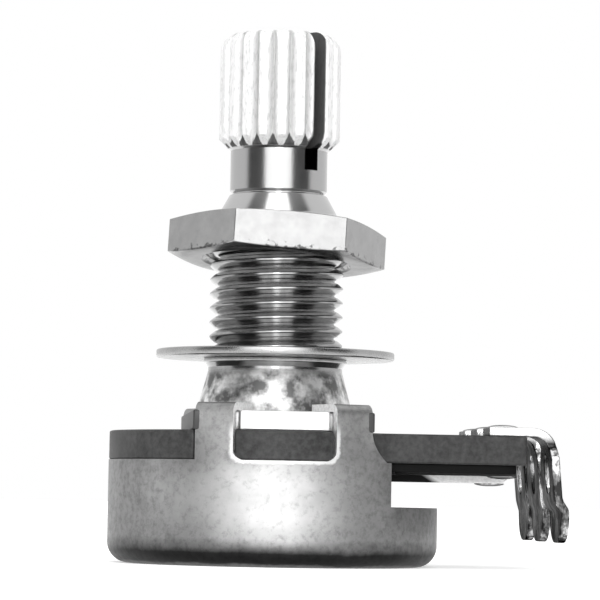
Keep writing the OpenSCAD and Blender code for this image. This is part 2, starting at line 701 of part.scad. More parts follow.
module rotor() {
    fit = 0.03;
    color("ivory") difference() {
        union() {
            translate([0, 0, rotor_z]) cylinder(r = rotor_r, h = rotor_t);
            translate([0, 0, rotor_top - rotor_t / 2]) cylinder(r = hub_r, h = hub_h + rotor_t / 2);
            intersection() {
                translate([0, 0, rotor_z]) cylinder(r = stop_r, h = rotor_t);
                translate([0, 0, rotor_z]) linear_extrude(rotor_t) polygon(concat([[0, 0]],
                    arc(0, 0, stop_r + 1, -90 - stop_half_angle, -90 + stop_half_angle)));
            }
        }
        rotate([0, 0, slot_angle]) intersection() {
            translate([0, 0, rotor_z - eps]) cylinder(r = drive_d / 2 + fit, h = rotor_t + hub_h + 2 * eps);
            translate([-drive_d, -drive_flats / 2 - fit, rotor_z - eps])
                cube([2 * drive_d, drive_flats + 2 * fit, rotor_t + hub_h + 2 * eps]);
        }
    }
}

// A sprung finger that runs in -Y at the given radius, its contact on the -X axis just under top_z
module finger(r, top_z) {
    tip_z = top_z - contact_gap;
    base_top = rotor_top + wiper_t;
    crown = finger_crown;
    low_z = tip_z - wiper_t;
    flat = 0.1;
    curl = 0.25;
    translate([-r + finger_w / 2, 0, 0]) rotate([90, 0, -90]) linear_extrude(finger_w) polygon([
        [-finger_l - crown, rotor_top], [-finger_l, rotor_top], [-crown, low_z - flat], [0, low_z],
        [crown, low_z - curl], [crown + flat, tip_z - curl], [flat, tip_z], [-flat, tip_z],
        [-crown, tip_z - flat], [-finger_l, base_top], [-finger_l - crown, base_top]]);
}

// The wiper's sheet, a ring round the hub that is open toward -X, where its pad carries two pairs of fingers
module wiper() {
    inner_r = hub_r + 0.05;
    outer_r = collector_out_r;
    pair = (finger_w + finger_gap) / 2;
    arm_r = track_r + pair + finger_w / 2;
    mouth = 0.4;
    window_x = mouth - inner_r;
    color("goldenrod") {
        difference() {
            union() {
                translate([0, 0, rotor_top]) cylinder(r = outer_r, h = wiper_t);
                translate([-arm_r, finger_l, rotor_top])
                    cube([arm_r + window_x + mouth, wiper_pad_w, wiper_t]);
            }
            translate([0, 0, rotor_top - eps]) cylinder(r = inner_r, h = wiper_t + 2 * eps);
            translate([-outer_r - eps, -outer_r - eps, rotor_top - eps])
                cube([outer_r + eps + window_x, outer_r + eps + finger_l, wiper_t + 2 * eps]);
        }
        for (s = [-1, 1]) {
            finger(track_r + s * pair, track_z);
            finger(collector_r + s * pair, collector_z);
        }
    }
}

// The washer, loose on the thread, flat on the collar's lip
module flat_washer() {
    color("silver") ring(washer_d / 2, washer_bore / 2, collar_top, washer_t);
}

// The nut, double chamfered, askew on the thread as it was left
module hex_nut() {
    corner_d = nut_flats / cos(30);
    face_r = nut_flats / 2 - 0.175;
    cone_r = corner_d / 2 + 0.01;
    half = nut_t / 2;
    color("silver") translate([0, 0, collar_top + nut_lift])
        rotate([-nut_lean_y, nut_lean_x, 0]) rotate([0, 0, nut_turn]) difference() {
            intersection() {
                translate([0, 0, -half]) cylinder(d = corner_d, h = nut_t, $fn = 6);
                rotate_extrude() polygon([[0, -half], [face_r, -half], [cone_r, nut_chamfer_h - half],
                    [cone_r, half - nut_chamfer_h], [face_r, half], [0, half]]);
            }
            translate([0, 0, -nut_t]) cylinder(d = nut_bore, h = 2 * nut_t);
        }
}

can();
wafer();
front_plate();
resistance_element();
carbon_track();
collector();
terminal_1();
terminal_2();
terminal_3();
rivet_1();
rivet_2();
rivet_3();
bushing();
shaft();
retaining_clip();
thrust_washer();
rotor();
wiper();
flat_washer();
hex_nut();
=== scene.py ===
"""Looks of a miniature rotary potentiometer with a split knurled shaft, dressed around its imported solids.

The part stands on its can's back, +Z runs up the shaft and +X points out along the tongue with the solder
lugs. Shapes are worked out in millimetres and put into the meshes in metres. Heights and radii come from the
solids' boxes, and what the boxes don't give is a named value here.
"""
import math

import bmesh
import bpy
import numpy as np
from mathutils import Matrix, Vector
from mathutils.geometry import delaunay_2d_cdt


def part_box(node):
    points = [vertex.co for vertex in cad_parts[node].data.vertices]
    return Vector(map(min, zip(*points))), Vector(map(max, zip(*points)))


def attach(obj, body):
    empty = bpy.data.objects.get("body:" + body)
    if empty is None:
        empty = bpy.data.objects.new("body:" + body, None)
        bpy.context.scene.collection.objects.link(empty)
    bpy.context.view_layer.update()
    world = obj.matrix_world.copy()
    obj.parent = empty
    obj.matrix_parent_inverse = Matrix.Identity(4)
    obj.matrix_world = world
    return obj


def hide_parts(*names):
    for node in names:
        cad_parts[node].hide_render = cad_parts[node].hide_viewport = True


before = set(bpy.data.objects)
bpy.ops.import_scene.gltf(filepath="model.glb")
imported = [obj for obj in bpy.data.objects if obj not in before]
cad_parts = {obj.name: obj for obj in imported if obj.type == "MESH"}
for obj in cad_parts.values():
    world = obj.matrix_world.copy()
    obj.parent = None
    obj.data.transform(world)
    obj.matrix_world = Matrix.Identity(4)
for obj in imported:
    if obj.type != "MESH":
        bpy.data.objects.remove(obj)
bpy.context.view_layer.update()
MM = 0.001
TAU = 2 * math.pi


def low(node):
    """A solid's lowest corner in millimetres."""
    return np.array(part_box(node)[0]) / MM


def high(node):
    """A solid's highest corner in millimetres."""
    return np.array(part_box(node)[1]) / MM


# Heights and radii read off the solids
CAN_R = high("can")[1]
TAB_TOP = high("can")[2]
WAFER_Z, WAFER_TOP = low("wafer")[2], high("wafer")[2]
WAFER_R = high("wafer")[1]
TONGUE_END = high("wafer")[0]
PLATE_TOP = high("front_plate")[2]
PLATE_W, PLATE_L = 2 * high("front_plate")[0], 2 * high("front_plate")[1]
BOARD_Z = low("resistance_element")[2]
BOARD_END, BOARD_R = high("resistance_element")[:2]
STRIP_Z = low("collector")[2]
STRIP_END, STRIP_R = high("collector")[:2]
LUG_IN, LUG_TIP_Z, LUG_TOP = low("terminal_2")[0], low("terminal_2")[2], high("terminal_2")[2]
RIVET_X = (low("rivet_2")[0] + high("rivet_2")[0]) / 2
RIVET_HEAD_R = (high("rivet_2")[0] - low("rivet_2")[0]) / 2
WASHER_Z, WASHER_TOP, WASHER_R = low("flat_washer")[2], high("flat_washer")[2], high("flat_washer")[0]
STAKE_Z, NOSE_TOP = low("bushing")[2], high("bushing")[2]
COLLAR_R = high("bushing")[0]
SHAFT_LOW, SHAFT_TOP = low("shaft")[2], high("shaft")[2]
NUT_MID = (low("hex_nut")[2] + high("hex_nut")[2]) / 2

# Sizes of the can and its tabs
CAN_WALL, CAN_CORNER_R = 0.4, 1.1
NOTCH_FLOOR, NOTCH_HALF_W = 3.1, 6.6
TAB_ANGLE, TAB_W, TAB_BEND_R = 24.4, 2.05, 0.5
TAB_END_R = 5.925
TAB_FILLET, TAB_FLARE = 0.45, 1.0
OPENING_HALF_W = CAN_R * math.sin(math.radians(TAB_ANGLE)) - TAB_W / 2 * math.cos(math.radians(TAB_ANGLE))
DENT_HALF_W, DENT_DEPTH, DENT_LOW, DENT_HIGH = 1.3, 1.3, 1.15, 2.9

# Sizes of the sheets under the tabs
TONGUE_W, WAFER_HOLE_R, SLOT_GAP = 12.6, 4.0, 0.1
PLATE_END_W, PLATE_SETBACK, SPIGOT_R = 4.5, 0.62, 3.0
BOARD_TAIL_W, BOARD_HOLE_R = 12.0, 2.85
STRIP_T, STRIP_ARM_W, STRIP_RING_W, STRIP_LIP = 0.45, 2.6, 1.2, 0.6

# Sizes of the lugs
LUG_T, LUG_SEAT_W, LUG_W = 0.43, 2.6, 4.0
LUG_OUT, LUG_BEND_R, LUG_SPLAY = 1.75, 1.2, 5.0
LUG_JOGGLE_Z, LUG_JOGGLE_H, LUG_TIP_R = 3.65, 0.55, 1.6
LUG_NECK_DROP, LUG_WIDEN_H = 0.45, 0.6
EYE_W, EYE_L, EYE_Z = 1.3, 2.0, 5.0
RIVET_SHANK_R, RIVET_HEAD_T = 0.45, 0.15

# Each lug's place along Y and how far its foot steps out
LUGS = {"terminal_1": (-5.0, 0.36), "terminal_2": (0.0, 0.16), "terminal_3": (5.0, 0.16)}

# Sizes of the bushing, washer, nut and shaft
THREAD_R, THREAD_ROOT_R, THREAD_PITCH = 3.5, 3.05, 0.75
THREAD_LOW, THREAD_HIGH = 10.75, 18.35
COLLAR_FOOT_H, WAIST_R, WAIST_DROP, WAIST_L, LIP_R, LIP_T = 0.8, 3.52, 0.7, 0.25, 3.75, 0.25
NOSE_R, NOSE_TOP_R, BORE_R, STAKE_R = 3.1, 2.575, 2.3, 3.35
WASHER_BORE_R = 3.65
NUT_FLATS, NUT_T, NUT_BORE_R, NUT_CHAMFER_H = 10.0, 2.0, 3.7, 0.14
NUT_FACE_CUT, NUT_BORE_CUT, NUT_RIDGE = 0.175, 0.25, 0.1
NUT_TURN, NUT_LEAN = 3.5, (-5.0, 3.0)
NECK_Z, NECK_R, KNURL_Z, KNURL_R = 19.45, 2.55, 21.8, 3.175
KNURL_TEETH, KNURL_DEPTH, KNURL_TURN, KNURL_ROUND, KNURL_CHAMFER = 20, 0.4, 14.0, 1.0, 0.5
CREST_W, CREST_FOOT_H = 0.4, 0.75
SLOT_W, SLOT_FLOOR, SLOT_ANGLE, HALF_MIDDLE = 0.85, 20.6, -52.0, 0.9
DRIVE_R, DRIVE_FLAT = 1.9, 1.4
JOURNAL_Z, GROOVE_LOW, GROOVE_HIGH, GROOVE_R = 5.67, 5.97, 6.365, 1.8


def nut_tilt():
    """The nut's turn about its axis, then its leans."""
    return (Matrix.Rotation(math.radians(NUT_LEAN[1]), 3, "Y") @ Matrix.Rotation(math.radians(NUT_LEAN[0]), 3, "X")
            @ Matrix.Rotation(math.radians(NUT_TURN), 3, "Z"))


# Meshes

def mesh_object(name, points, faces, smooth=40, recalc=False):
    """An object whose mesh holds these points, in millimetres, and faces, its doubled points merged, and
    shaded smooth where its faces turn by less than smooth degrees."""
    mesh = bpy.data.meshes.new(name)
    mesh.from_pydata((np.asarray(points, float) * MM).tolist(), [], faces)
    piece = bpy.data.objects.new(name, mesh)
    bpy.context.scene.collection.objects.link(piece)
    work = bmesh.new()
    work.from_mesh(mesh)
    bmesh.ops.remove_doubles(work, verts=work.verts, dist=2e-7)
    bmesh.ops.dissolve_degenerate(work, edges=work.edges, dist=1e-7)
    if recalc:
        bmesh.ops.recalc_face_normals(work, faces=work.faces)
    limit = math.radians(smooth)
    for edge in work.edges:
        edge.smooth = len(edge.link_faces) == 2 and edge.calc_face_angle(0) < limit
    for face in work.faces:
        face.smooth = True
    work.to_mesh(mesh)
    work.free()
    mesh.update()
    return piece


def grid_faces(rows, columns, closed_rows, closed_columns, start):
    """Quads between the points of a grid that is numbered row by row from start."""
    i = np.arange(rows if closed_rows else rows - 1)[:, None]
    j = np.arange(columns if closed_columns else columns - 1)[None, :]
    i2, j2 = (i + 1) % rows, (j + 1) % columns
    quads = np.stack([i * columns + j, i * columns + j2, i2 * columns + j2, i2 * columns + j], -1)
    return (quads.reshape(-1, 4) + start).tolist()


def surface(name, patches, smooth, recalc=False):
    """One mesh from several patches. Each is x, y and z over a grid, and whether its rows and its columns
    close on themselves."""
    points, faces, start = [], [], 0
    for x, y, z, closed_rows, closed_columns in patches:
        x, y, z = np.broadcast_arrays(x, y, z)
        points.append(np.stack([x, y, z], -1).reshape(-1, 3))
        faces += grid_faces(*x.shape, closed_rows, closed_columns, start)
        start += x.size
    return mesh_object(name, np.concatenate(points), faces, smooth, recalc)


def turned(profile, steps, centre=(0.0, 0.0), closed=False):
    """A patch: a profile of radius and height, from the bottom up its outside, carried round an upright axis."""
    profile = np.asarray(profile, float)
    turn = np.linspace(0, TAU, steps, endpoint=False)[None, :]
    return (centre[0] + profile[:, :1] * np.cos(turn), centre[1] + profile[:, :1] * np.sin(turn),
            profile[:, 1:], closed, True)


def arc(cx, cy, r, start, end, steps):
    """Points of a circle's arc between two angles in degrees, the ends included."""
    a = np.radians(np.linspace(start, end, steps + 1))
    return np.stack([cx + r * np.cos(a), cy + r * np.sin(a)], 1)


def ring_profile(inner_r, outer_r, z_low, z_high, edge):
    """The closed profile of a flat ring whose four edges are rounded."""
    return np.concatenate([
        arc(outer_r - edge, z_low + edge, edge, -90, 0, 4), arc(outer_r - edge, z_high - edge, edge, 0, 90, 4),
        arc(inner_r + edge, z_high - edge, edge, 90, 180, 4), arc(inner_r + edge, z_low + edge, edge, 180, 270, 4)])


def smoothstep(value, start, end):
    """0 before start, 1 past end, and an S between them."""
    t = np.clip((value - start) / (end - start), 0, 1)
    return t * t * (3 - 2 * t)


def resample(outline, gap):
    """A closed outline with points added so that none lie further apart than gap."""
    outline = np.asarray(outline, float)
    runs = []
    for a, b in zip(outline, np.roll(outline, -1, 0)):
        count = max(1, int(np.ceil(np.linalg.norm(b - a) / gap)))
        runs.append(a + (b - a) * (np.arange(count) / count)[:, None])
    return np.concatenate(runs)


def inside(points, outline):
    """Whether each point lies in a closed outline: a ray to its right then meets an odd number of edges."""
    a, b = outline, np.roll(outline, -1, 0)
    px, py = points[:, :1], points[:, 1:]
    crosses = (a[None, :, 1] > py) != (b[None, :, 1] > py)
    rise = b[None, :, 1] - a[None, :, 1]
    rise = np.where(rise == 0, 1e-12, rise)
    meets = a[None, :, 0] + (b[None, :, 0] - a[None, :, 0]) * (py - a[None, :, 1]) / rise
    return (crosses & (px < meets)).sum(1) % 2 == 1


def flat_mesh(outline, holes, gap):
    """Points and triangles that fill an outline around its holes, with a grid of inner points gap apart."""
    loops = [resample(loop, gap) for loop in [outline, *holes]]
    lo, hi = loops[0].min(0), loops[0].max(0)
    gx, gy = np.meshgrid(np.arange(lo[0] + gap / 2, hi[0], gap), np.arange(lo[1] + gap / 2, hi[1], gap))
    grid = np.stack([gx.ravel(), gy.ravel()], 1)
    border = np.concatenate(loops)
    keep = inside(grid, loops[0]) & (((grid[:, None] - border[None]) ** 2).sum(-1).min(1) > (0.6 * gap) ** 2)
    for hole in loops[1:]:
        keep &= ~inside(grid, hole)
    edges, start = [], 0
    for loop in loops:
        edges += [(start + i, start + (i + 1) % len(loop)) for i in range(len(loop))]
        start += len(loop)
    points = [Vector(p) for p in np.concatenate([border, grid[keep]])]
    verts, _, faces, _, _, _ = delaunay_2d_cdt(points, edges, [], 0, 1e-7)
    verts = np.array([tuple(v) for v in verts])
    middles = np.array([verts[list(f)].mean(0) for f in faces])
    filled = inside(middles, loops[0])
    for hole in loops[1:]:
        filled &= ~inside(middles, hole)
    return verts, [list(f) for f, ok in zip(faces, filled) if ok]


def thicken(piece, thickness, edge, segments=2):
    """Gives a sheet its thickness away from its normals, in millimetres, and rounds its cut edges."""
    solid = piece.modifiers.new("thickness", "SOLIDIFY")
    solid.thickness = thickness * MM
    solid.offset = -1
    solid.use_even_offset = True
    bevel = piece.modifiers.new("edges", "BEVEL")
    bevel.width = edge * MM
    bevel.segments = segments
    bevel.limit_method = "ANGLE"
    bevel.angle_limit = math.radians(50)
    return piece


def slab(name, outline, holes, z_low, z_high, gap, edge):
    """A flat sheet between two heights, its edges rounded."""
    flat, faces = flat_mesh(outline, holes, gap)
    return thicken(mesh_object(name, np.c_[flat, np.full(len(flat), z_high)], faces), z_high - z_low, edge)


def circle(r, steps=72):
    """Points round a circle about the axis."""
    return arc(0.0, 0.0, r, 0, 360 - 360 / steps, steps - 1)


# Materials

class Value:
    """A shader socket that Python's operators work on."""

    def __init__(self, nodes, socket):
        self.nodes, self.socket = nodes, socket

    def __abs__(self):
        return self.nodes.maths("ABSOLUTE", self)

    def __add__(self, other):
        return self.nodes.maths("ADD", self, other)

    def __radd__(self, other):
        return self.nodes.maths("ADD", other, self)

    def __sub__(self, other):
        return self.nodes.maths("SUBTRACT", self, other)

    def __rsub__(self, other):
        return self.nodes.maths("SUBTRACT", other, self)

    def __mul__(self, other):
        return self.nodes.maths("MULTIPLY", self, other)

    def __rmul__(self, other):
        return self.nodes.maths("MULTIPLY", other, self)

    def __truediv__(self, other):
        return self.nodes.maths("DIVIDE", self, other)


class Nodes:
    """The nodes of a material or of the world."""

    def __init__(self, tree):
        self.tree = tree

    def add(self, kind, settings, sockets, output=0):
        """Adds a node with these settings, then its sockets' values or links, and gives one of its outputs."""
        made = self.tree.nodes.new(kind)
        for key, value in settings.items():
            if key != "stops":
                setattr(made, key, value)
                continue
            while len(made.color_ramp.elements) < len(value):
                made.color_ramp.elements.new(0.5)
            for element, (place, shade) in zip(made.color_ramp.elements, value):
                element.position, element.color = place, (shade, shade, shade, 1)
        for key, value in sockets.items():
            self.put(made.inputs[key], value)
        return Value(self, made.outputs[output])

    def put(self, socket, value):
        """Links a value to a socket, or sets the socket to a number or a grey."""
        if isinstance(value, Value):
            self.tree.links.new(value.socket, socket)
        elif socket.type == "RGBA":
            socket.default_value = (value, value, value, 1)
        else:
            socket.default_value = value

    def maths(self, operation, first, second=0.0):
        """A Math node."""
        return self.add("ShaderNodeMath", {"operation": operation}, {0: first, 1: second})

    def noise(self, place, scale, detail=3.0, rough=0.55, stretch=None):
        """Noise of so many features a millimetre, stretched along the axes if asked."""
        if stretch:
            place = self.add("ShaderNodeMapping", {}, {"Vector": place, "Scale": stretch})
        return self.add("ShaderNodeTexNoise", {}, {"Vector": place, "Scale": scale / MM, "Detail": detail,
                        "Roughness": rough}, "Fac")

    def ramp(self, value, stops):
        """A grey that follows a value through these stops."""
        return self.add("ShaderNodeValToRGB", {"stops": stops}, {"Fac": value}, "Color")

    def span(self, value, low_in, high_in, low_out, high_out):
        """A value mapped from one range to another and held at its ends."""
        return self.add("ShaderNodeMapRange", {"clamp": True}, {"Value": value, "From Min": low_in,
                        "From Max": high_in, "To Min": low_out, "To Max": high_out})

    def dot(self, place, way):
        """How far a place lies along a direction."""
        return self.add("ShaderNodeVectorMath", {"operation": "DOT_PRODUCT"}, {0: place, 1: tuple(way)}, "Value")

    def along(self, place, axis):
        """One coordinate of a place, in millimetres."""
        return self.add("ShaderNodeSeparateXYZ", {}, {"Vector": place}, axis) / MM

    def blend(self, first, second, share):
        """The first value where the share is 0, the second where it is 1."""
        return first * (1.0 - share) + second * share

    def bump(self, height, depth):
        """Normals from a height of 0 to 1 that stands for so many millimetres."""
        return self.add("ShaderNodeBump", {}, {"Height": height, "Distance": depth * MM, "Strength": 1.0}, "Normal")


def material(name, **sockets):
    """A material's nodes, its Principled shader with these constant sockets, and its Object coordinates."""
    made = bpy.data.materials.new(name)
    made.use_nodes = True
    nodes = Nodes(made.node_tree)
    nodes.material = made
    nodes.shader = made.node_tree.nodes["Principled BSDF"]
    nodes.at = nodes.add("ShaderNodeTexCoord", {}, {}, "Object")
    for key, value in sockets.items():
        nodes.put(nodes.shader.inputs[key.replace("_", " ")], value)
    return nodes


def finish(look, tone, rough, fine, depth):
    """Puts a tone, a roughness and a grain on a shader, and gives its material."""
    look.put(look.shader.inputs["Base Color"], tone)
    look.put(look.shader.inputs["Roughness"], rough)
    look.put(look.shader.inputs["Normal"], look.bump(fine, depth))
    return look.material


def metal(name, tone, rough, clouds=0.05, rough_spread=0.1, depth=0.0012):
    """Plated metal: a tone and a gloss that cloud over a little, with a fine grain in the surface."""
    look = material(name, Metallic=1.0)
    cloud = look.noise(look.at, 0.8, 4, 0.6)
    fine = look.noise(look.at, 14.0, 2, 0.5)
    half = rough_spread / 2
    return finish(look, look.span(cloud, 0.32, 0.68, tone - clouds, tone + clouds),
                  look.span(cloud + 0.5 * fine, 0.55, 0.95, rough - half, rough + half), fine, depth)


def can_metal(name):
    """Tinned steel gone dull: broad clouds, faint specks, a painted highlight on the front, paler tabs, a dark band
    low on the wall that is a painted reflection, and painted highlights in strips along the edges of the openings
    between the tabs. A strip ends at a set distance from the opening's rounded outline, made uneven by the specks."""
    look = material(name, Metallic=1.0)
    cloud = look.noise(look.at, 0.35, 5, 0.62)
    speck = look.noise(look.at, 3.0, 6, 0.72)
    x, y, z = (look.along(look.at, axis) for axis in "XYZ")
    band_top, front_x, front_z, tabs_low, tabs_high = 1.8, -1.1, 3.4, 5.6, 6.8
    # Painted dark reflection: a dark band low on the wall, paler at its very foot and fading out upward.
    painted_dark_reflection = look.ramp(look.span(z + 0.5 * (cloud - 0.5), 0.0, band_top, 0.0, 1.0),
                         [(0.04, 0.7), (0.1, 0.06), (0.38, 0.08), (0.52, 0.45), (0.8, 1.0)])
    # Painted highlight: a broad lighter patch on the front of the wall, which also thins the specks there.
    front = (look.span(abs(x - front_x), 0.0, 7.0, 1.0, 0.0) * look.span(y, -5.0, -2.0, 1.0, 0.0)
             * look.span(abs(z - front_z), 0.8, 2.8, 1.0, 0.1))
    tone = (look.span(cloud, 0.3, 0.7, 0.2, 0.3) * (1.0 + 1.25 * front) * painted_dark_reflection
            * look.span(speck + 0.12 * front, 0.36, 0.56, 0.7, 1.0) * look.span(z, tabs_low, tabs_high, 1.0, 1.5))
    # Painted highlight: bright strips along the edges of the openings between the tabs, where the gloss is also
    # rougher.
    aside = look.maths("MAXIMUM", abs(x) - (OPENING_HALF_W - TAB_FILLET), 0.0)
    below = look.maths("MAXIMUM", WAFER_Z + TAB_FILLET - z, 0.0)
    beyond = look.maths("SQRT", aside * aside + below * below) + 0.35 * (speck - 0.5)
    painted_edge_highlight = look.span(beyond, TAB_FILLET + 0.1, TAB_FILLET + 0.2, 1.0, 0.0) * look.span(z, 6.7, 7.3, 1.0, 0.0)
    rough = look.blend(look.span(speck, 0.3, 0.7, 0.5, 0.4), 0.6, painted_edge_highlight)
    return finish(look, look.blend(tone, 0.72, painted_edge_highlight), rough, speck, 0.002)


def shaft_metal(name):
    """The shaft: a frosted, nearly white knurled end with valleys greyed by painted shade, triangles of painted shade
    between the teeth's feet and painted shade on the walls of the saw slot, and a smooth neck. The angle round the
    axis says where the teeth's crests are."""
    look = material(name)
    fine = look.noise(look.at, 9.0, 3, 0.6, (1, 1, 0.25))
    x, y, z = (look.along(look.at, axis) for axis in "XYZ")
    knurled = look.span(z, KNURL_Z - 0.02, KNURL_Z + 0.02, 0.0, 1.0)
    turns = look.maths("ARCTAN2", y, x) * (KNURL_TEETH / TAU) - KNURL_TEETH * (SLOT_ANGLE + KNURL_TURN) / 360
    crest = abs(look.maths("FRACT", turns) - 0.5) * 2.0
    radius = look.maths("SQRT", x * x + y * y)
    frost, outer = 0.88, look.span(radius, NECK_R - 0.1, NECK_R + 0.2, 0.0, 1.0)
    # Painted shade: the knurl's valleys are made greyer than its crests.
    valley = look.blend(frost, look.span(crest, 0.05, 0.4, 0.5, frost), outer)
    # Painted shade: dark triangles between the feet of the teeth.
    foot = look.span(crest + 1.15 * (z - KNURL_Z) + 0.3 * (fine - 0.5), 0.66, 0.78, 0.1, 1.0)
    # Painted shade: the walls of the saw slot are made dark above its floor.
    sides = x * math.sin(math.radians(-SLOT_ANGLE)) + y * math.cos(math.radians(SLOT_ANGLE))
    painted_slot_shade = look.span(abs(sides), SLOT_W / 2 + 0.015, SLOT_W / 2 + 0.05, 0.12, 1.0)
    painted_slot_shade = look.blend(1.0, painted_slot_shade, look.span(z, SLOT_FLOOR - 0.02, SLOT_FLOOR, 0.0, 1.0))
    tone = look.blend(0.42, valley * foot * look.span(fine, 0.35, 0.5, 0.8, 1.0), knurled) * painted_slot_shade
    look.put(look.shader.inputs["Metallic"], look.blend(1.0, 0.3, knurled))
    return finish(look, tone, look.blend(0.2, 0.6, knurled), fine, 0.003)


def bushing_metal(name):
    """The bushing's plating: dark and glossy in the thread, brighter on the nose, clouded and satin on the
    collar."""
    look = material(name, Metallic=1.0)
    cloud = look.noise(look.at, 1.0, 4, 0.6)
    fine = look.noise(look.at, 5.0, 3, 0.6)
    z = look.along(look.at, "Z")
    collar = look.span(z, THREAD_LOW - 0.95, THREAD_LOW - 0.6, 1.0, 0.0)
    nose = look.span(z, THREAD_HIGH - 0.4, THREAD_HIGH, 0.0, 1.0)
    thread = look.span(cloud, 0.32, 0.68, 0.27, 0.38)
    tone = look.blend(look.blend(thread, 0.5, nose), look.span(cloud, 0.4, 0.62, 0.16, 0.85), collar)
    return finish(look, tone, look.blend(0.17, 0.46, collar), fine, 0.002)


def nut_metal(name):
    """The nut's plating, chipped low on its flats and darkened on its underside as painted shade."""
    look = material(name, Metallic=1.0)
    cloud = look.noise(look.at, 1.2, 4, 0.6)
    fine = look.noise(look.at, 8.0, 2, 0.5)
    chip = look.noise(look.at, 2.6, 4, 0.65)
    axis = nut_tilt() @ Vector((0, 0, 1))
    up = look.dot(look.at, axis) / MM + (NUT_T / 2 - NUT_MID * axis.z)
    # Painted shade on the underside, times chips low on the flats.
    chips_and_painted_shade = look.span(up, 0.02, 0.14, 0.1, 1.0) * look.span(chip + 0.4 * (up - 0.25), 0.37, 0.43, 0.3, 1.0)
    tone = look.span(cloud, 0.32, 0.68, 0.31, 0.36) * chips_and_painted_shade
    return finish(look, tone, look.span(cloud, 0.3, 0.7, 0.22, 0.27), fine, 0.0006)


def plate_metal(name):
    """The front plate's plating, bright between the tabs and darkened beyond them as painted shade."""
    look = material(name, Metallic=1.0)
    cloud = look.noise(look.at, 1.5, 4, 0.6)
    fine = look.noise(look.at, 5.0, 2, 0.5)
    # Painted shade: the plate is made dark beyond the tabs.
    near = look.span(abs(look.along(look.at, "X")), OPENING_HALF_W + 0.6, OPENING_HALF_W + 1.4, 1.0, 0.0)
    tone = look.blend(0.08, 0.9, near) * look.span(cloud, 0.3, 0.7, 0.85, 1.0)
    return finish(look, tone, 0.5 + 0.1 * (cloud - 0.5), fine, 0.003)


def lug_metal(name, dull, middle, bright):
    """Silvered brass: bright where it lies on the tongue, tarnished in streaks down the legs with painted glints
    where the streaks run brightest, darkest at the tips."""
    look = material(name, Metallic=1.0, Specular_Tint=0.1)
    streak = look.noise(look.at, 1.1, 4, 0.65, (1, 1, 0.45))
    fine = look.noise(look.at, 7.0, 3, 0.6)
    z = look.along(look.at, "Z")
    # The ramp's brightest tone is painted glints; its darker tones are tarnish.
    leg = look.ramp(streak, [(0.43, dull), (0.51, middle), (0.58, bright)]) * look.span(z, 1.6, 2.6, 0.5, 1.0)
    tone = look.blend(leg, 0.9, look.span(z, 6.5, 7.1, 0.0, 1.0))
    return finish(look, tone, look.span(streak, 0.35, 0.6, 0.32, 0.2), fine, 0.002)


def strip_metal(name):
    """The collector strip: bright out to its end, with a painted shadow of the can's wall inward of a slanting line.
    """
    look = material(name, Metallic=1.0)
    fine = look.noise(look.at, 7.0, 3, 0.6)
    # Painted shadow: the strip is near black inward of a slanting line.
    painted_shadow_line = look.along(look.at, "X") + 1.6 * (look.along(look.at, "Z") - STRIP_Z)
    tone = look.blend(0.015, look.span(fine, 0.3, 0.7, 0.75, 0.9), look.span(painted_shadow_line, 8.2, 8.7, 0.0, 1.0))
    return finish(look, tone, look.span(fine, 0.3, 0.7, 0.5, 0.35), fine, 0.002)


def edge_metal(name):
    """Sheared edges of the can: bright between the two front tabs as a painted highlight, dull elsewhere."""
    look = material(name, Metallic=1.0)
    fine = look.noise(look.at, 6.0, 3, 0.6)
    x = look.along(look.at, "X")
    # Painted highlight: the cut edges between the tabs are made bright.
    near = look.span(x * x, 9.5, 12.5, 1.0, 0.0)
    tone = look.blend(0.3, 0.95, near) * look.span(fine, 0.3, 0.6, 0.8, 1.0)
    return finish(look, tone, look.blend(0.4, 0.62, near), fine, 0.003)


def resin(name, tone, rough, speck_size=6.0, spread=0.25, gloss=0.4):
    """Moulded or pressed resin: a speckled grey, matt, with a faint pitting."""
    look = material(name, Specular_IOR_Level=gloss)
    speck = look.noise(look.at, speck_size, 5, 0.6)
    broad = look.noise(look.at, 0.7, 2, 0.5)
    shades = look.ramp(0.6 * speck + 0.4 * broad, [(0.35, tone * (1 - spread)), (0.65, tone * (1 + spread))])
    return finish(look, shades, look.span(speck, 0.3, 0.7, rough - 0.06, rough + 0.06), speck, 0.008)


CAN_STEEL = can_metal("tinned_can_steel")
CAN_EDGE = edge_metal("sheared_can_edge")
PLATE_METAL = plate_metal("front_plate_metal")
BUSHING_METAL = bushing_metal("plated_bushing")
SHAFT_METAL = shaft_metal("turned_shaft_metal")
NUT_METAL = nut_metal("plated_nut")
WASHER_METAL = metal("pressed_washer", 0.37, 0.28, clouds=0.03, rough_spread=0.06, depth=0.0005)
# The last tone given to each lug look is the tone of its painted glints.
LUG_METAL = lug_metal("silvered_lug", 0.25, 0.42, 0.75)
LUG_EDGE = lug_metal("sheared_lug_edge", 0.03, 0.22, 0.95)
STRIP_METAL = strip_metal("collector_strip_metal")
SPRING_METAL = metal("spring_metal", 0.45, 0.3)
WAFER_RESIN = resin("dark_wafer_resin", 0.044, 0.5, 3.5, 0.55, gloss=0.25)
BOARD_RESIN = resin("black_laminate_board", 0.004, 0.5, gloss=0.08)
CARBON = resin("printed_carbon", 0.012, 0.6, 12.0)
NYLON = resin("rotor_nylon", 0.7, 0.5, 3.0, 0.04)

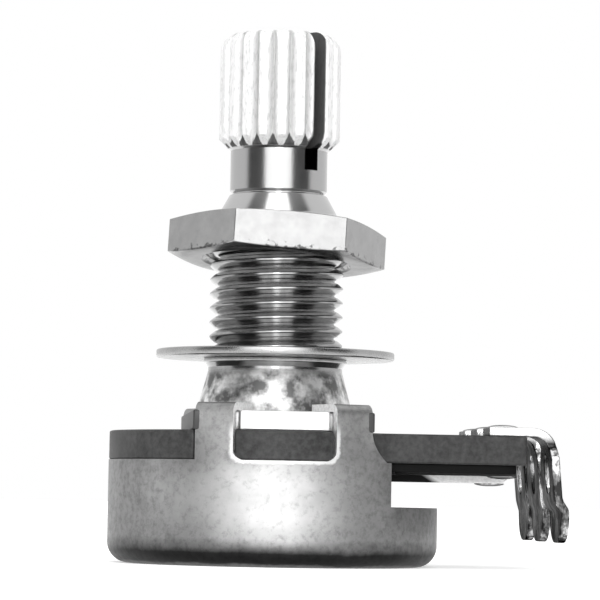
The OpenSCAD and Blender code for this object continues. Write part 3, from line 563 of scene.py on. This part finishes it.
NODE_LOOKS = {
    "can": CAN_STEEL, "wafer": WAFER_RESIN, "front_plate": PLATE_METAL, "resistance_element": BOARD_RESIN,
    "carbon_track": CARBON, "collector": STRIP_METAL, "terminal_1": LUG_METAL, "terminal_2": LUG_METAL,
    "terminal_3": LUG_METAL, "rivet_1": LUG_METAL, "rivet_2": LUG_METAL, "rivet_3": LUG_METAL,
    "bushing": BUSHING_METAL, "shaft": SHAFT_METAL, "retaining_clip": SPRING_METAL,
    "thrust_washer": SPRING_METAL, "rotor": NYLON, "wiper": SPRING_METAL, "flat_washer": WASHER_METAL,
    "hex_nut": NUT_METAL,
}
for node_name, node_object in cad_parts.items():
    node_object.data.materials.clear()
    node_object.data.materials.append(NODE_LOOKS[node_name])


def dress(piece, body, node):
    """Gives a piece the look of the node that it replaces and its body, hides that node, and returns the piece."""
    piece.data.materials.append(NODE_LOOKS[node])
    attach(piece, body)
    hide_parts(node)
    return piece


def cut_edges(piece, look):
    """Gives a thickened sheet's cut edges their own look."""
    piece.data.materials.append(look)
    piece.modifiers["thickness"].material_offset_rim = 1
    piece.modifiers["edges"].material = 1


# The can

def can_stretches():
    """The can's wall from the window round and back again: what each stretch is, its two angles and its number
    of columns. A tab's stretch is as wide as its foot."""
    window = math.degrees(math.asin(NOTCH_HALF_W / CAN_R))
    half = math.degrees(math.asin(TAB_W / 2 / CAN_R))
    flare, fillet = math.degrees(TAB_FLARE / CAN_R), math.degrees(TAB_FILLET / CAN_R)
    feet = [(90 - TAB_ANGLE, flare, fillet), (90 + TAB_ANGLE, fillet, 0), (270 - TAB_ANGLE, 0, fillet),
            (270 + TAB_ANGLE, fillet, flare)]
    stretches, at = [("window", -window, window, 48, 0)], window
    for middle, before, after in feet:
        start, end = middle - half - before, middle + half + after
        stretches += [("gap", at, start, max(2, int((start - at) / 1.0)), 0), ("tab", start, end, 16, middle)]
        at = end
    return stretches + [("gap", at, 360 - window, 3, 0)]


def can_dent(angle, z):
    """How far the wall is pressed in: a smooth hollow across the middle of the back, between two heights."""
    across = (np.degrees(angle) - 90) / 180 * math.pi * CAN_R
    width = np.sqrt(np.clip(1 - (across / DENT_HALF_W) ** 2, 0, 1))
    height = smoothstep(z, DENT_LOW - 0.15, DENT_LOW + 0.35) * (1 - smoothstep(z, DENT_HIGH - 0.35, DENT_HIGH + 0.1))
    return DENT_DEPTH * width * height


def tab_patch(start, end, count, middle):
    """One tab over a grid of its width and its length: its two edges run in from the foot to the tab's own
    width, the wall's curve flattens as it rises, and the top turns through a quarter circle and lies flat."""
    mid = math.radians(middle)
    across = np.linspace(0, 1, count + 1)[None, :]
    foot_l, foot_r = math.radians(start - middle) * CAN_R, math.radians(end - middle) * CAN_R
    straight = TAB_TOP - TAB_BEND_R - WAFER_Z
    crowding, flare_rise, curve, tiny = 1.7, 1.7, 2.3, 1e-6
    climb = straight * np.linspace(0, 1, 25)[:, None] ** crowding

    def spread(beyond):
        """How far the edge stands out past the tab's own width, at each height: a wide foot climbs higher."""
        reach = beyond * (flare_rise if beyond > 0.6 else 1.0)
        return beyond * np.clip(1 - climb / max(reach, tiny), 0, 1) ** curve if beyond > tiny else 0 * climb

    left = -TAB_W / 2 - spread(max(0.0, -foot_l - TAB_W / 2))
    right = TAB_W / 2 + spread(max(0.0, foot_r - TAB_W / 2))
    along = left + (right - left) * across
    flat = smoothstep(climb, 0.3 * straight, straight)
    face, rows = CAN_R - 0.05, 9
    out = (1 - flat) * CAN_R * np.cos(along / CAN_R) + flat * face
    side = (1 - flat) * CAN_R * np.sin(along / CAN_R) + flat * along
    bend = np.radians(np.linspace(0, 90, rows))[1:, None]
    lay = np.linspace(0, 1, rows)[1:, None]
    level = -TAB_W / 2 + TAB_W * across
    out = np.concatenate([out, face - TAB_BEND_R + TAB_BEND_R * np.cos(bend) + 0 * level,
                          face - TAB_BEND_R - lay * (face - TAB_BEND_R - TAB_END_R) + 0 * level])
    side = np.concatenate([side, level + 0 * bend, level + 0 * lay])
    z = np.concatenate([WAFER_Z + climb + 0 * level, TAB_TOP - TAB_BEND_R + TAB_BEND_R * np.sin(bend) + 0 * level,
                        TAB_TOP + 0 * lay + 0 * level])
    return (out * math.cos(mid) - side * math.sin(mid), out * math.sin(mid) + side * math.cos(mid), z, False, False)


def can_shell():
    """The drawn cup with its tabs: angle round the axis by way along the wall's profile, across the back, round
    the corner and up to the rim, where each tab's patch goes on. The sheet is thickened inwards."""
    profile = np.concatenate([
        [[r, 0.0] for r in np.linspace(0, CAN_R - CAN_CORNER_R, 12)[:-1]],
        arc(CAN_R - CAN_CORNER_R, CAN_CORNER_R, CAN_CORNER_R, -90, 0, 12),
        [[CAN_R, z] for z in np.linspace(CAN_CORNER_R, NOTCH_FLOOR, 17)[1:]]])
    upper = np.array([[CAN_R, z] for z in np.linspace(NOTCH_FLOOR, WAFER_Z, 14)[1:]])
    patches = []
    for kind, start, end, count, middle in can_stretches():
        angle = np.radians(np.linspace(start, end, count + 1))[None, :]
        rows = profile if kind == "window" else np.concatenate([profile, upper])
        r = rows[:, :1] - can_dent(angle, rows[:, 1:]) * (rows[:, :1] > CAN_R - 1e-6)
        patches.append((r * np.cos(angle), r * np.sin(angle), rows[:, 1:], False, False))
        if kind == "tab":
            patches.append(tab_patch(start, end, count, middle))
    return thicken(surface("can_shell", patches, 60), CAN_WALL, 0.11, 3)


# The sheets between the can and the tabs

def wafer_outline():
    """The wafer's rim, with a slot for each tab, and the tongue's three sides. Its radius steps in over the
    tabs, and from the tongue as far as the nearest tab."""
    slot = math.degrees(math.asin((TAB_W / 2 + SLOT_GAP) / CAN_R))
    slot_r = CAN_R - CAN_WALL - SLOT_GAP
    root = math.degrees(math.asin(TONGUE_W / 2 / slot_r))
    rim = [(root, slot_r, 90 - TAB_ANGLE + slot), (90 - TAB_ANGLE + slot, WAFER_R, 90 + TAB_ANGLE - slot),
           (90 + TAB_ANGLE - slot, slot_r, 90 + TAB_ANGLE + slot),
           (90 + TAB_ANGLE + slot, WAFER_R, 270 - TAB_ANGLE - slot),
           (270 - TAB_ANGLE - slot, slot_r, 270 - TAB_ANGLE + slot),
           (270 - TAB_ANGLE + slot, WAFER_R, 270 + TAB_ANGLE - slot),
           (270 + TAB_ANGLE - slot, slot_r, 360 - root)]
    points = [arc(0, 0, r, start, end, max(4, int((end - start) / 3))) for start, r, end in rim]
    return np.concatenate([*points, [[TONGUE_END, -TONGUE_W / 2], [TONGUE_END, TONGUE_W / 2]]])


def tailed_disc(r, tail_w, end):
    """A disc with a straight tail out to end along +X."""
    root = math.degrees(math.asin(tail_w / 2 / r))
    return np.concatenate([arc(0, 0, r, root, 360 - root, 96), [[end, -tail_w / 2], [end, tail_w / 2]]])


def plate_outline():
    """The front plate: a rectangle with a narrower tongue at each end."""
    w, e, l, s = PLATE_W / 2, PLATE_END_W / 2, PLATE_L / 2, PLATE_L / 2 - PLATE_SETBACK
    return np.array([[e, -l], [e, -s], [w, -s], [w, s], [e, s], [e, l], [-e, l], [-e, s], [-w, s], [-w, -s],
                     [-e, -s], [-e, -l]])


def collector_strip():
    """The collector's ring and arm, flat but for the arm's end, which turns up in a small lip."""
    outline = tailed_disc(STRIP_R, STRIP_ARM_W, STRIP_END + STRIP_LIP)
    flat, faces = flat_mesh(outline, [circle(STRIP_R - STRIP_RING_W)], 0.3)
    bend_r = STRIP_T + 0.02
    bend_x = STRIP_END - bend_r
    past = np.clip(flat[:, 0] - bend_x, 0, None)
    angle = np.clip(past / bend_r, 0, math.pi / 2)
    x = np.where(past > 0, bend_x + bend_r * np.sin(angle), flat[:, 0])
    rise = bend_r * (1 - np.cos(angle)) + np.clip(past - bend_r * math.pi / 2, 0, None)
    faces = [face[::-1] for face in faces]
    return thicken(mesh_object("collector_strip", np.c_[x, flat[:, 1], STRIP_Z + rise], faces), STRIP_T, 0.05)


# The lugs

def lug_path(joggle):
    """The middle line of a lug's outer face, in X and Z: along the tongue, over the end in an arc, down with a
    slight outward lean, and out by a small step near the tip. Its corners are rounded by averaging."""
    out_x, slope = TONGUE_END + LUG_OUT, math.tan(math.radians(LUG_SPLAY))
    bend_z = LUG_TOP - LUG_BEND_R
    bend_x = out_x - (bend_z - LUG_JOGGLE_Z) * slope - LUG_BEND_R / math.cos(math.radians(LUG_SPLAY))
    path = np.concatenate([[[LUG_IN, LUG_TOP]], arc(bend_x, bend_z, LUG_BEND_R, 90, LUG_SPLAY, 16),
                           [[out_x, LUG_JOGGLE_Z], [out_x + joggle, LUG_JOGGLE_Z - LUG_JOGGLE_H],
                            [out_x + joggle, LUG_TIP_Z - 0.5]]])
    length = np.r_[0, np.cumsum(np.linalg.norm(np.diff(path, axis=0), axis=1))]
    fine = np.linspace(0, length[-1], 400)
    x, z = np.interp(fine, length, path[:, 0]), np.interp(fine, length, path[:, 1])
    reach = 4
    blur = np.ones(2 * reach + 1) / (2 * reach + 1)
    for values in (x, z):
        values[reach:-reach] = np.convolve(values, blur, "valid")
    return fine, x, z


def lug_sheet(name, y, joggle):
    """A lug cut flat and then bent: its outline and eye are drawn by height on the leg, laid out along the
    path, and every point is carried to the path's place."""
    fine, path_x, path_z = lug_path(joggle)
    leg = path_z < LUG_TOP - 0.01

    def at(z):
        """The way along the path to a height on the leg."""
        return np.interp(-np.asarray(z, float), -path_z[leg], fine[leg])

    seat, leg_w = LUG_SEAT_W / 2, LUG_W / 2
    neck_z = WAFER_TOP - LUG_NECK_DROP
    tip = arc(LUG_TIP_Z + LUG_TIP_R, leg_w - LUG_TIP_R, LUG_TIP_R, 90, 180, 12)
    half = np.concatenate([[[neck_z, seat], [neck_z - LUG_WIDEN_H, leg_w]], tip])
    half = np.c_[at(half[:, 0]), half[:, 1]]
    outline = np.concatenate([[[0, seat]], half, (half * [1, -1])[::-1], [[0, -seat]]])
    oval = np.concatenate([arc(EYE_Z + (EYE_L - EYE_W) / 2, 0, EYE_W / 2, -90, 90, 10),
                           arc(EYE_Z - (EYE_L - EYE_W) / 2, 0, EYE_W / 2, 90, 270, 10)])
    oval = np.c_[at(oval[:, 0]), oval[:, 1]]
    flat, faces = flat_mesh(outline, [oval], 0.22)
    points = np.c_[np.interp(flat[:, 0], fine, path_x), y + flat[:, 1], np.interp(flat[:, 0], fine, path_z)]
    return thicken(mesh_object(name, points, faces), LUG_T, 0.06)


def rivet(name, node):
    """A rivet: a shank between two domed heads."""
    bottom, top = low(node)[2], high(node)[2]
    y, r, t = (low(node)[1] + high(node)[1]) / 2, RIVET_HEAD_R, RIVET_HEAD_T
    dome = np.radians(np.linspace(0, 90, 7))
    head = np.stack([r * np.cos(dome), t * np.sin(dome)], 1)
    shank = [[RIVET_SHANK_R, bottom + t], [RIVET_SHANK_R, top - t]]
    profile = np.concatenate([(head * [1, -1] + [0, bottom + t])[::-1], shank, head + [0, top - t]])
    return surface(name, [turned(profile, 40, (RIVET_X, y))], 50)


# The bushing, the washer and the nut

def thread_wave(turns):
    """A thread's height from root 0 to crest 1: flats at both, joined by straight flanks."""
    place = np.abs((turns % 1.0) - 0.5) * 2
    return smoothstep(place, 0.0, 0.34) * 0.3 + np.clip((place - 0.16) / 0.7, 0, 1) * 0.7


def bushing_body():
    """The bushing over a grid of angle and way along its profile. The thread's grid leans with the helix: each
    of its rows climbs one pitch in a turn, so a row keeps to one height of the thread's wave. The wave fades
    out at both ends, where the rows are held at the ends' heights."""
    lip_z, waist_z = THREAD_LOW - LIP_T, THREAD_LOW - WAIST_DROP
    below = np.concatenate([
        [[BORE_R, STAKE_Z], [STAKE_R - 0.1, STAKE_Z], [STAKE_R, STAKE_Z + 0.1], [SPIGOT_R, STAKE_Z + 0.2],
         [SPIGOT_R, PLATE_TOP]],
        arc(COLLAR_R - 0.08, PLATE_TOP + 0.08, 0.08, -90, 0, 3),
        arc(COLLAR_R - 0.2, PLATE_TOP + COLLAR_FOOT_H - 0.2, 0.2, 0, 17, 2),
        [[WAIST_R + 0.06, waist_z - 0.2], [WAIST_R, waist_z + 0.05], [WAIST_R, waist_z + WAIST_L - 0.03],
         [WAIST_R + 0.05, waist_z + WAIST_L + 0.04], [LIP_R - 0.07, lip_z]],
        arc(LIP_R - 0.05, lip_z + 0.06, 0.05, -60, 0, 2), arc(LIP_R - 0.06, THREAD_LOW - 0.06, 0.06, 0, 90, 3),
        [[THREAD_ROOT_R, THREAD_LOW]]])
    above = np.concatenate([[[NOSE_R, THREAD_HIGH], [NOSE_R - 0.03, THREAD_HIGH + 0.08]],
                            arc(NOSE_TOP_R - 0.05, NOSE_TOP - 0.07, 0.07, 20, 90, 4),
                            [[BORE_R + 0.1, NOSE_TOP], [BORE_R, NOSE_TOP - 0.1], [BORE_R, STAKE_Z]]])
    turn = np.linspace(0, TAU, 193)[None, :]
    steps = 20
    rows = np.arange(-steps, int(np.ceil((THREAD_HIGH - THREAD_LOW) / THREAD_PITCH * steps)) + 1)[:, None] / steps
    z = np.clip(THREAD_LOW + THREAD_PITCH * (rows + turn / TAU), THREAD_LOW, THREAD_HIGH)
    crest = np.minimum(THREAD_R, NOSE_R + 1.2 * (THREAD_HIGH - z))
    root = THREAD_ROOT_R + (NOSE_R - THREAD_ROOT_R) * smoothstep(z, THREAD_HIGH - 0.3, THREAD_HIGH)
    fade = smoothstep(z, THREAD_LOW, THREAD_LOW + 0.4)
    thread = root + (crest - root) * fade * thread_wave(rows)
    patches = [(thread * np.cos(turn), thread * np.sin(turn), z, False, False)]
    for line in (below, above):
        patches.append((line[:, :1] * np.cos(turn), line[:, :1] * np.sin(turn), line[:, 1:] + 0 * turn, False, False))
    return surface("bushing_body", patches, 32)


def nut_body():
    """The nut over a grid of angle and way round its section. The outer radius is the hexagon's, a cone cuts
    its corners at both faces, and the bore has the ridges of its thread. It is then turned and leant."""
    steps = 144
    turn = np.linspace(0, TAU, steps, endpoint=False)[None, :]
    sixth = turn % (math.pi / 3) - math.pi / 6
    hexagon = NUT_FLATS / 2 / np.cos(sixth)
    corner_r, face_r = NUT_FLATS / 2 / math.cos(math.pi / 6), NUT_FLATS / 2 - NUT_FACE_CUT
    bore_edge, ring_r = NUT_BORE_R + NUT_BORE_CUT, 4.2
    drop = NUT_CHAMFER_H * (hexagon - face_r) / (corner_r - face_r)
    half = NUT_T / 2
    same = np.ones_like(turn)
    cone = np.linspace(0, 1, 5)[1:, None]
    bore_z = np.linspace(half - NUT_BORE_CUT, -half + NUT_BORE_CUT, 49)[:, None]
    fade = smoothstep(half - np.abs(bore_z), NUT_BORE_CUT, NUT_BORE_CUT + 0.2)
    ridge = NUT_RIDGE * thread_wave(bore_z / THREAD_PITCH - turn / TAU) * fade
    flat_z = half - drop - 0.35 * (2 * half - 2 * drop)
    radius = np.concatenate([
        bore_edge * same, ring_r * same, face_r * same, face_r + cone * (hexagon - face_r), hexagon, hexagon,
        face_r + cone[::-1] * (hexagon - face_r), face_r * same, ring_r * same, bore_edge * same,
        NUT_BORE_R - ridge])
    z = np.concatenate([
        -half * same, -half * same, -half * same, -half + cone * drop, -flat_z, flat_z, half - cone[::-1] * drop,
        half * same, half * same, half * same, bore_z + 0 * turn])
    points = np.stack([radius * np.cos(turn), radius * np.sin(turn), z], -1)
    points = points @ np.array(nut_tilt()).T + [0, 0, NUT_MID]
    piece = surface("nut_body", [(*np.moveaxis(points, -1, 0), True, True)], 20)
    bevel = piece.modifiers.new("edges", "BEVEL")
    bevel.width, bevel.segments, bevel.limit_method, bevel.angle_limit = 0.05 * MM, 2, "ANGLE", math.radians(28)
    return piece


# The shaft

def knurl_radius(angle, z):
    """A straight knurl's radius: teeth with flat tops between V valleys. Toward the foot the tops narrow to
    points. A place of 0 is the middle of a tooth and 1 the middle of a valley."""
    place = np.abs(((angle / TAU * KNURL_TEETH) + 0.5) % 1.0 - 0.5) * 2
    top = CREST_W * smoothstep(z, KNURL_Z - 0.1, KNURL_Z + CREST_FOOT_H)
    return KNURL_R - KNURL_DEPTH * smoothstep(place, top, 0.5 + 1.15 * top)


def shaft_half(side):
    """One half of the split end over a grid of height and way round its D outline: out along the circle, which
    the knurl notches, and back along the saw slot's face. The floor and the top each close on a point."""
    round_z = SHAFT_TOP - KNURL_ROUND
    heights = np.concatenate([[SLOT_FLOOR, KNURL_Z - 0.12, KNURL_Z],
                              KNURL_Z + KNURL_CHAMFER * np.linspace(0, 1, 9)[1:],
                              np.linspace(KNURL_Z + KNURL_CHAMFER, round_z, 16)[1:],
                              round_z + KNURL_ROUND * np.sin(np.radians(np.linspace(0, 90, 12)[1:]))])
    z = heights[:, None]
    chamfer = KNURL_R - KNURL_CHAMFER + (z - KNURL_Z)
    above = np.clip(z - SHAFT_TOP + KNURL_ROUND, 0, None)
    rounding = KNURL_R - KNURL_ROUND + np.sqrt(np.clip(KNURL_ROUND ** 2 - above ** 2, 0, None))
    limit = np.where(z < KNURL_Z - 1e-6, NECK_R, np.minimum(chamfer, rounding))
    fraction = np.linspace(0, 1, 221)[None, :]
    edge = SLOT_W / 2
    begin = np.arcsin(np.clip(edge / limit, -1, 1))
    angle = begin + (math.pi - 2 * begin) * fraction
    toothed = knurl_radius(angle - math.radians(KNURL_TURN), z)
    round_r = np.where(z < KNURL_Z - 1e-6, NECK_R, np.minimum(limit, toothed))
    u, v = round_r * np.cos(angle), np.maximum(round_r * np.sin(angle), edge)
    back = np.linspace(0, 1, 16)[None, 1:-1]
    u = np.concatenate([u, u[:, -1:] + (u[:, :1] - u[:, -1:]) * back], 1)
    v = np.concatenate([v, edge + 0 * z * back], 1)

    def shrunk(row, shrink, height):
        """A row drawn in toward a point HALF_MIDDLE out from the slot's middle: the row at 1, the point at 0."""
        return (u[row] * shrink, edge + (v[row] - edge) * shrink + (1 - shrink) * HALF_MIDDLE, height + 0 * u[row])

    rows = [shrunk(slice(0, 1), shrink, SLOT_FLOOR) for shrink in (0.0, 0.5)]
    rows += [(u, v, z + 0 * u)] + [shrunk(slice(-1, None), shrink, SHAFT_TOP) for shrink in (0.7, 0.35, 0.0)]
    u, v, z = (np.concatenate([row[i] for row in rows]) for i in range(3))
    if side < 0:
        u, v = -u, -v
    turn = math.radians(SLOT_ANGLE)
    return (u * math.cos(turn) - v * math.sin(turn), u * math.sin(turn) + v * math.cos(turn), z, False, True)


def shaft_body():
    """The shaft: a flatted drive end, a turned stem up to the floor of the saw slot, and the two halves of the
    split end on it."""
    journal = BORE_R - 0.05
    stem = np.array([[0, JOURNAL_Z], [journal - 0.1, JOURNAL_Z], [journal, JOURNAL_Z + 0.1], [journal, GROOVE_LOW],
                     [GROOVE_R, GROOVE_LOW], [GROOVE_R, GROOVE_HIGH], [journal, GROOVE_HIGH], [journal, 12.0],
                     [journal, NECK_Z], [NECK_R - 0.12, NECK_Z], [NECK_R, NECK_Z + 0.12], [NECK_R, SLOT_FLOOR],
                     [0, SLOT_FLOOR]])
    turn = np.linspace(0, TAU, 120, endpoint=False)[None, :]
    drive_z = np.array([SHAFT_LOW, SHAFT_LOW, SHAFT_LOW + 0.2, JOURNAL_Z, JOURNAL_Z])[:, None]
    size = np.array([0, DRIVE_R - 0.2, DRIVE_R, DRIVE_R, 0])[:, None]
    u = size * np.cos(turn)
    v = np.clip(size * np.sin(turn), -DRIVE_FLAT, DRIVE_FLAT)
    spin = math.radians(SLOT_ANGLE)
    drive = (u * math.cos(spin) - v * math.sin(spin), u * math.sin(spin) + v * math.cos(spin), drive_z, False, True)
    return surface("shaft_body", [turned(stem, 120), drive, shaft_half(1), shaft_half(-1)], 38, True)


cut_edges(dress(can_shell(), "housing", "can"), CAN_EDGE)
dress(slab("wafer_plate", wafer_outline(), [circle(WAFER_HOLE_R)], WAFER_Z, WAFER_TOP, gap=0.8, edge=0.1),
      "housing", "wafer")
dress(slab("front_plate_sheet", plate_outline(), [circle(SPIGOT_R)], WAFER_TOP, PLATE_TOP, gap=0.8, edge=0.08),
      "housing", "front_plate")
dress(slab("laminate_board", tailed_disc(BOARD_R, BOARD_TAIL_W, BOARD_END), [circle(BOARD_HOLE_R)], BOARD_Z,
           WAFER_Z, gap=0.8, edge=0.04), "housing", "resistance_element")
dress(collector_strip(), "housing", "collector")
for lug_node, (lug_y, lug_joggle) in LUGS.items():
    lug = lug_sheet(lug_node.replace("terminal", "lug_sheet"), lug_y, lug_joggle)
    cut_edges(dress(lug, "housing", lug_node), LUG_EDGE)
for number in (1, 2, 3):
    dress(rivet(f"lug_rivet_{number}", f"rivet_{number}"), "housing", f"rivet_{number}")
dress(bushing_body(), "housing", "bushing")
washer_profile = ring_profile(WASHER_BORE_R, WASHER_R, WASHER_Z, WASHER_TOP, 0.1)
dress(surface("washer_ring", [turned(washer_profile, 144, closed=True)], 30), "washer", "flat_washer")
dress(nut_body(), "nut", "hex_nut")
dress(shaft_body(), "spindle", "shaft")


# The camera, the floor and the light

VIEW_TURN, VIEW_REACH, EYE_HEIGHT = math.radians(-3.9), 175.0, 3.5
AIM_HEIGHT, AIM_RIGHT, HALF_FRAME, ROLL = 13.9, 1.24, 15.75, math.radians(1.04)
BOX_LIGHT, DARK_ZONE = 8.0, 0.03
RIGHT = np.array([math.cos(VIEW_TURN), math.sin(VIEW_TURN), 0.0])
TOWARD = np.array([-math.sin(VIEW_TURN), math.cos(VIEW_TURN), 0.0])


def photo_camera():
    """A camera at the photograph's place, turned to its aim and rolled by its lean."""
    place = np.array([0, 0, EYE_HEIGHT]) - TOWARD * VIEW_REACH
    aim = np.array([0, 0, AIM_HEIGHT]) + RIGHT * AIM_RIGHT
    lens = bpy.data.cameras.new("photo_camera")
    lens.angle = 2 * math.atan(HALF_FRAME / VIEW_REACH)
    lens.clip_start, lens.clip_end = 0.005, 10
    holder = bpy.data.objects.new("photo_camera", lens)
    bpy.context.scene.collection.objects.link(holder)
    turn = Vector(aim - place).to_track_quat("-Z", "Y").to_matrix().to_4x4()
    holder.matrix_world = Matrix.Translation(Vector(place * MM)) @ turn @ Matrix.Rotation(ROLL, 4, "Z")
    bpy.context.scene.camera = holder


def background_rays(nodes):
    """1 for the rays that show the background: from the camera, off gloss and through glass. 0 for the rest."""
    kinds = ("Camera", "Glossy", "Transmission")
    seen = [nodes.add("ShaderNodeLightPath", {}, {}, f"Is {kind} Ray") for kind in kinds]
    return nodes.maths("MINIMUM", seen[0] + seen[1] + seen[2], 1.0)


def pale_floor():
    """A wide plane at the height of the can's back, white to the camera but for the object's shadow."""
    far = 1500.0
    corners = [[-far, -far, 0], [far, -far, 0], [far, far, 0], [-far, far, 0]]
    floor = mesh_object("pale_floor", corners, [[0, 1, 2, 3]])
    look = material("pale_floor", Roughness=0.9, Specular_IOR_Level=0.0)
    grain = look.noise(look.at, 0.05, 3)
    look.put(look.shader.inputs["Base Color"], look.ramp(grain, [(0.4, 0.78), (0.6, 0.8)]))
    look.put(look.shader.inputs["Emission Color"], background_rays(look) * 0.5)
    look.put(look.shader.inputs["Emission Strength"], 1.0)
    floor.data.materials.append(look.material)


def studio_light():
    """The room: white to the camera. Its far half is white to all rays. The near half is dark but for a tall soft
    box on the camera's side, brighter in a narrow core, and there is a dim glow overhead."""
    world = bpy.data.worlds.new("studio")
    bpy.context.scene.world = world
    world.use_nodes = True
    room = Nodes(world.node_tree)
    place = room.add("ShaderNodeTexCoord", {}, {}, "Generated")
    ahead, aside, up = (room.dot(place, way) for way in (-TOWARD, RIGHT, (0.0, 0.0, 1.0)))
    turn = room.maths("ARCTAN2", aside, ahead) / TAU + 0.5

    def round_room(stops):
        """A grey by the angle round the room from the camera's side, in degrees."""
        return room.ramp(turn, [(degrees / 360 + 0.5, shade) for degrees, shade in stops])

    far = round_room([(-180, 1.0), (-84, 1.0), (-74, 0.0), (74, 0.0), (84, 1.0), (180, 1.0)])
    side, core = 0.33, 1.0
    near = round_room([(-37, 0.0), (-29, side), (-6, side), (-3, core), (3, core), (6, side), (27, side), (35, 0.0)])
    box = near * room.span(up, 0.0, math.sin(math.radians(3.0)), 0.0, 1.0) * room.span(up, 0.88, 0.94, 1.0, 0.0)
    glow = room.span(up, 0.6, 0.85, 0.0, 0.35) * (1.0 - far)
    light = DARK_ZONE + far * (1.0 - DARK_ZONE) + box * BOX_LIGHT + glow
    camera = room.add("ShaderNodeLightPath", {}, {}, "Is Camera Ray")
    background = world.node_tree.nodes["Background"]
    room.put(background.inputs["Color"], room.blend(light, 1.0, camera))
    room.put(background.inputs["Strength"], 1.0)


photo_camera()
pale_floor()
studio_light()
bpy.context.scene.view_settings.view_transform = "Standard"
bpy.context.view_layer.update()
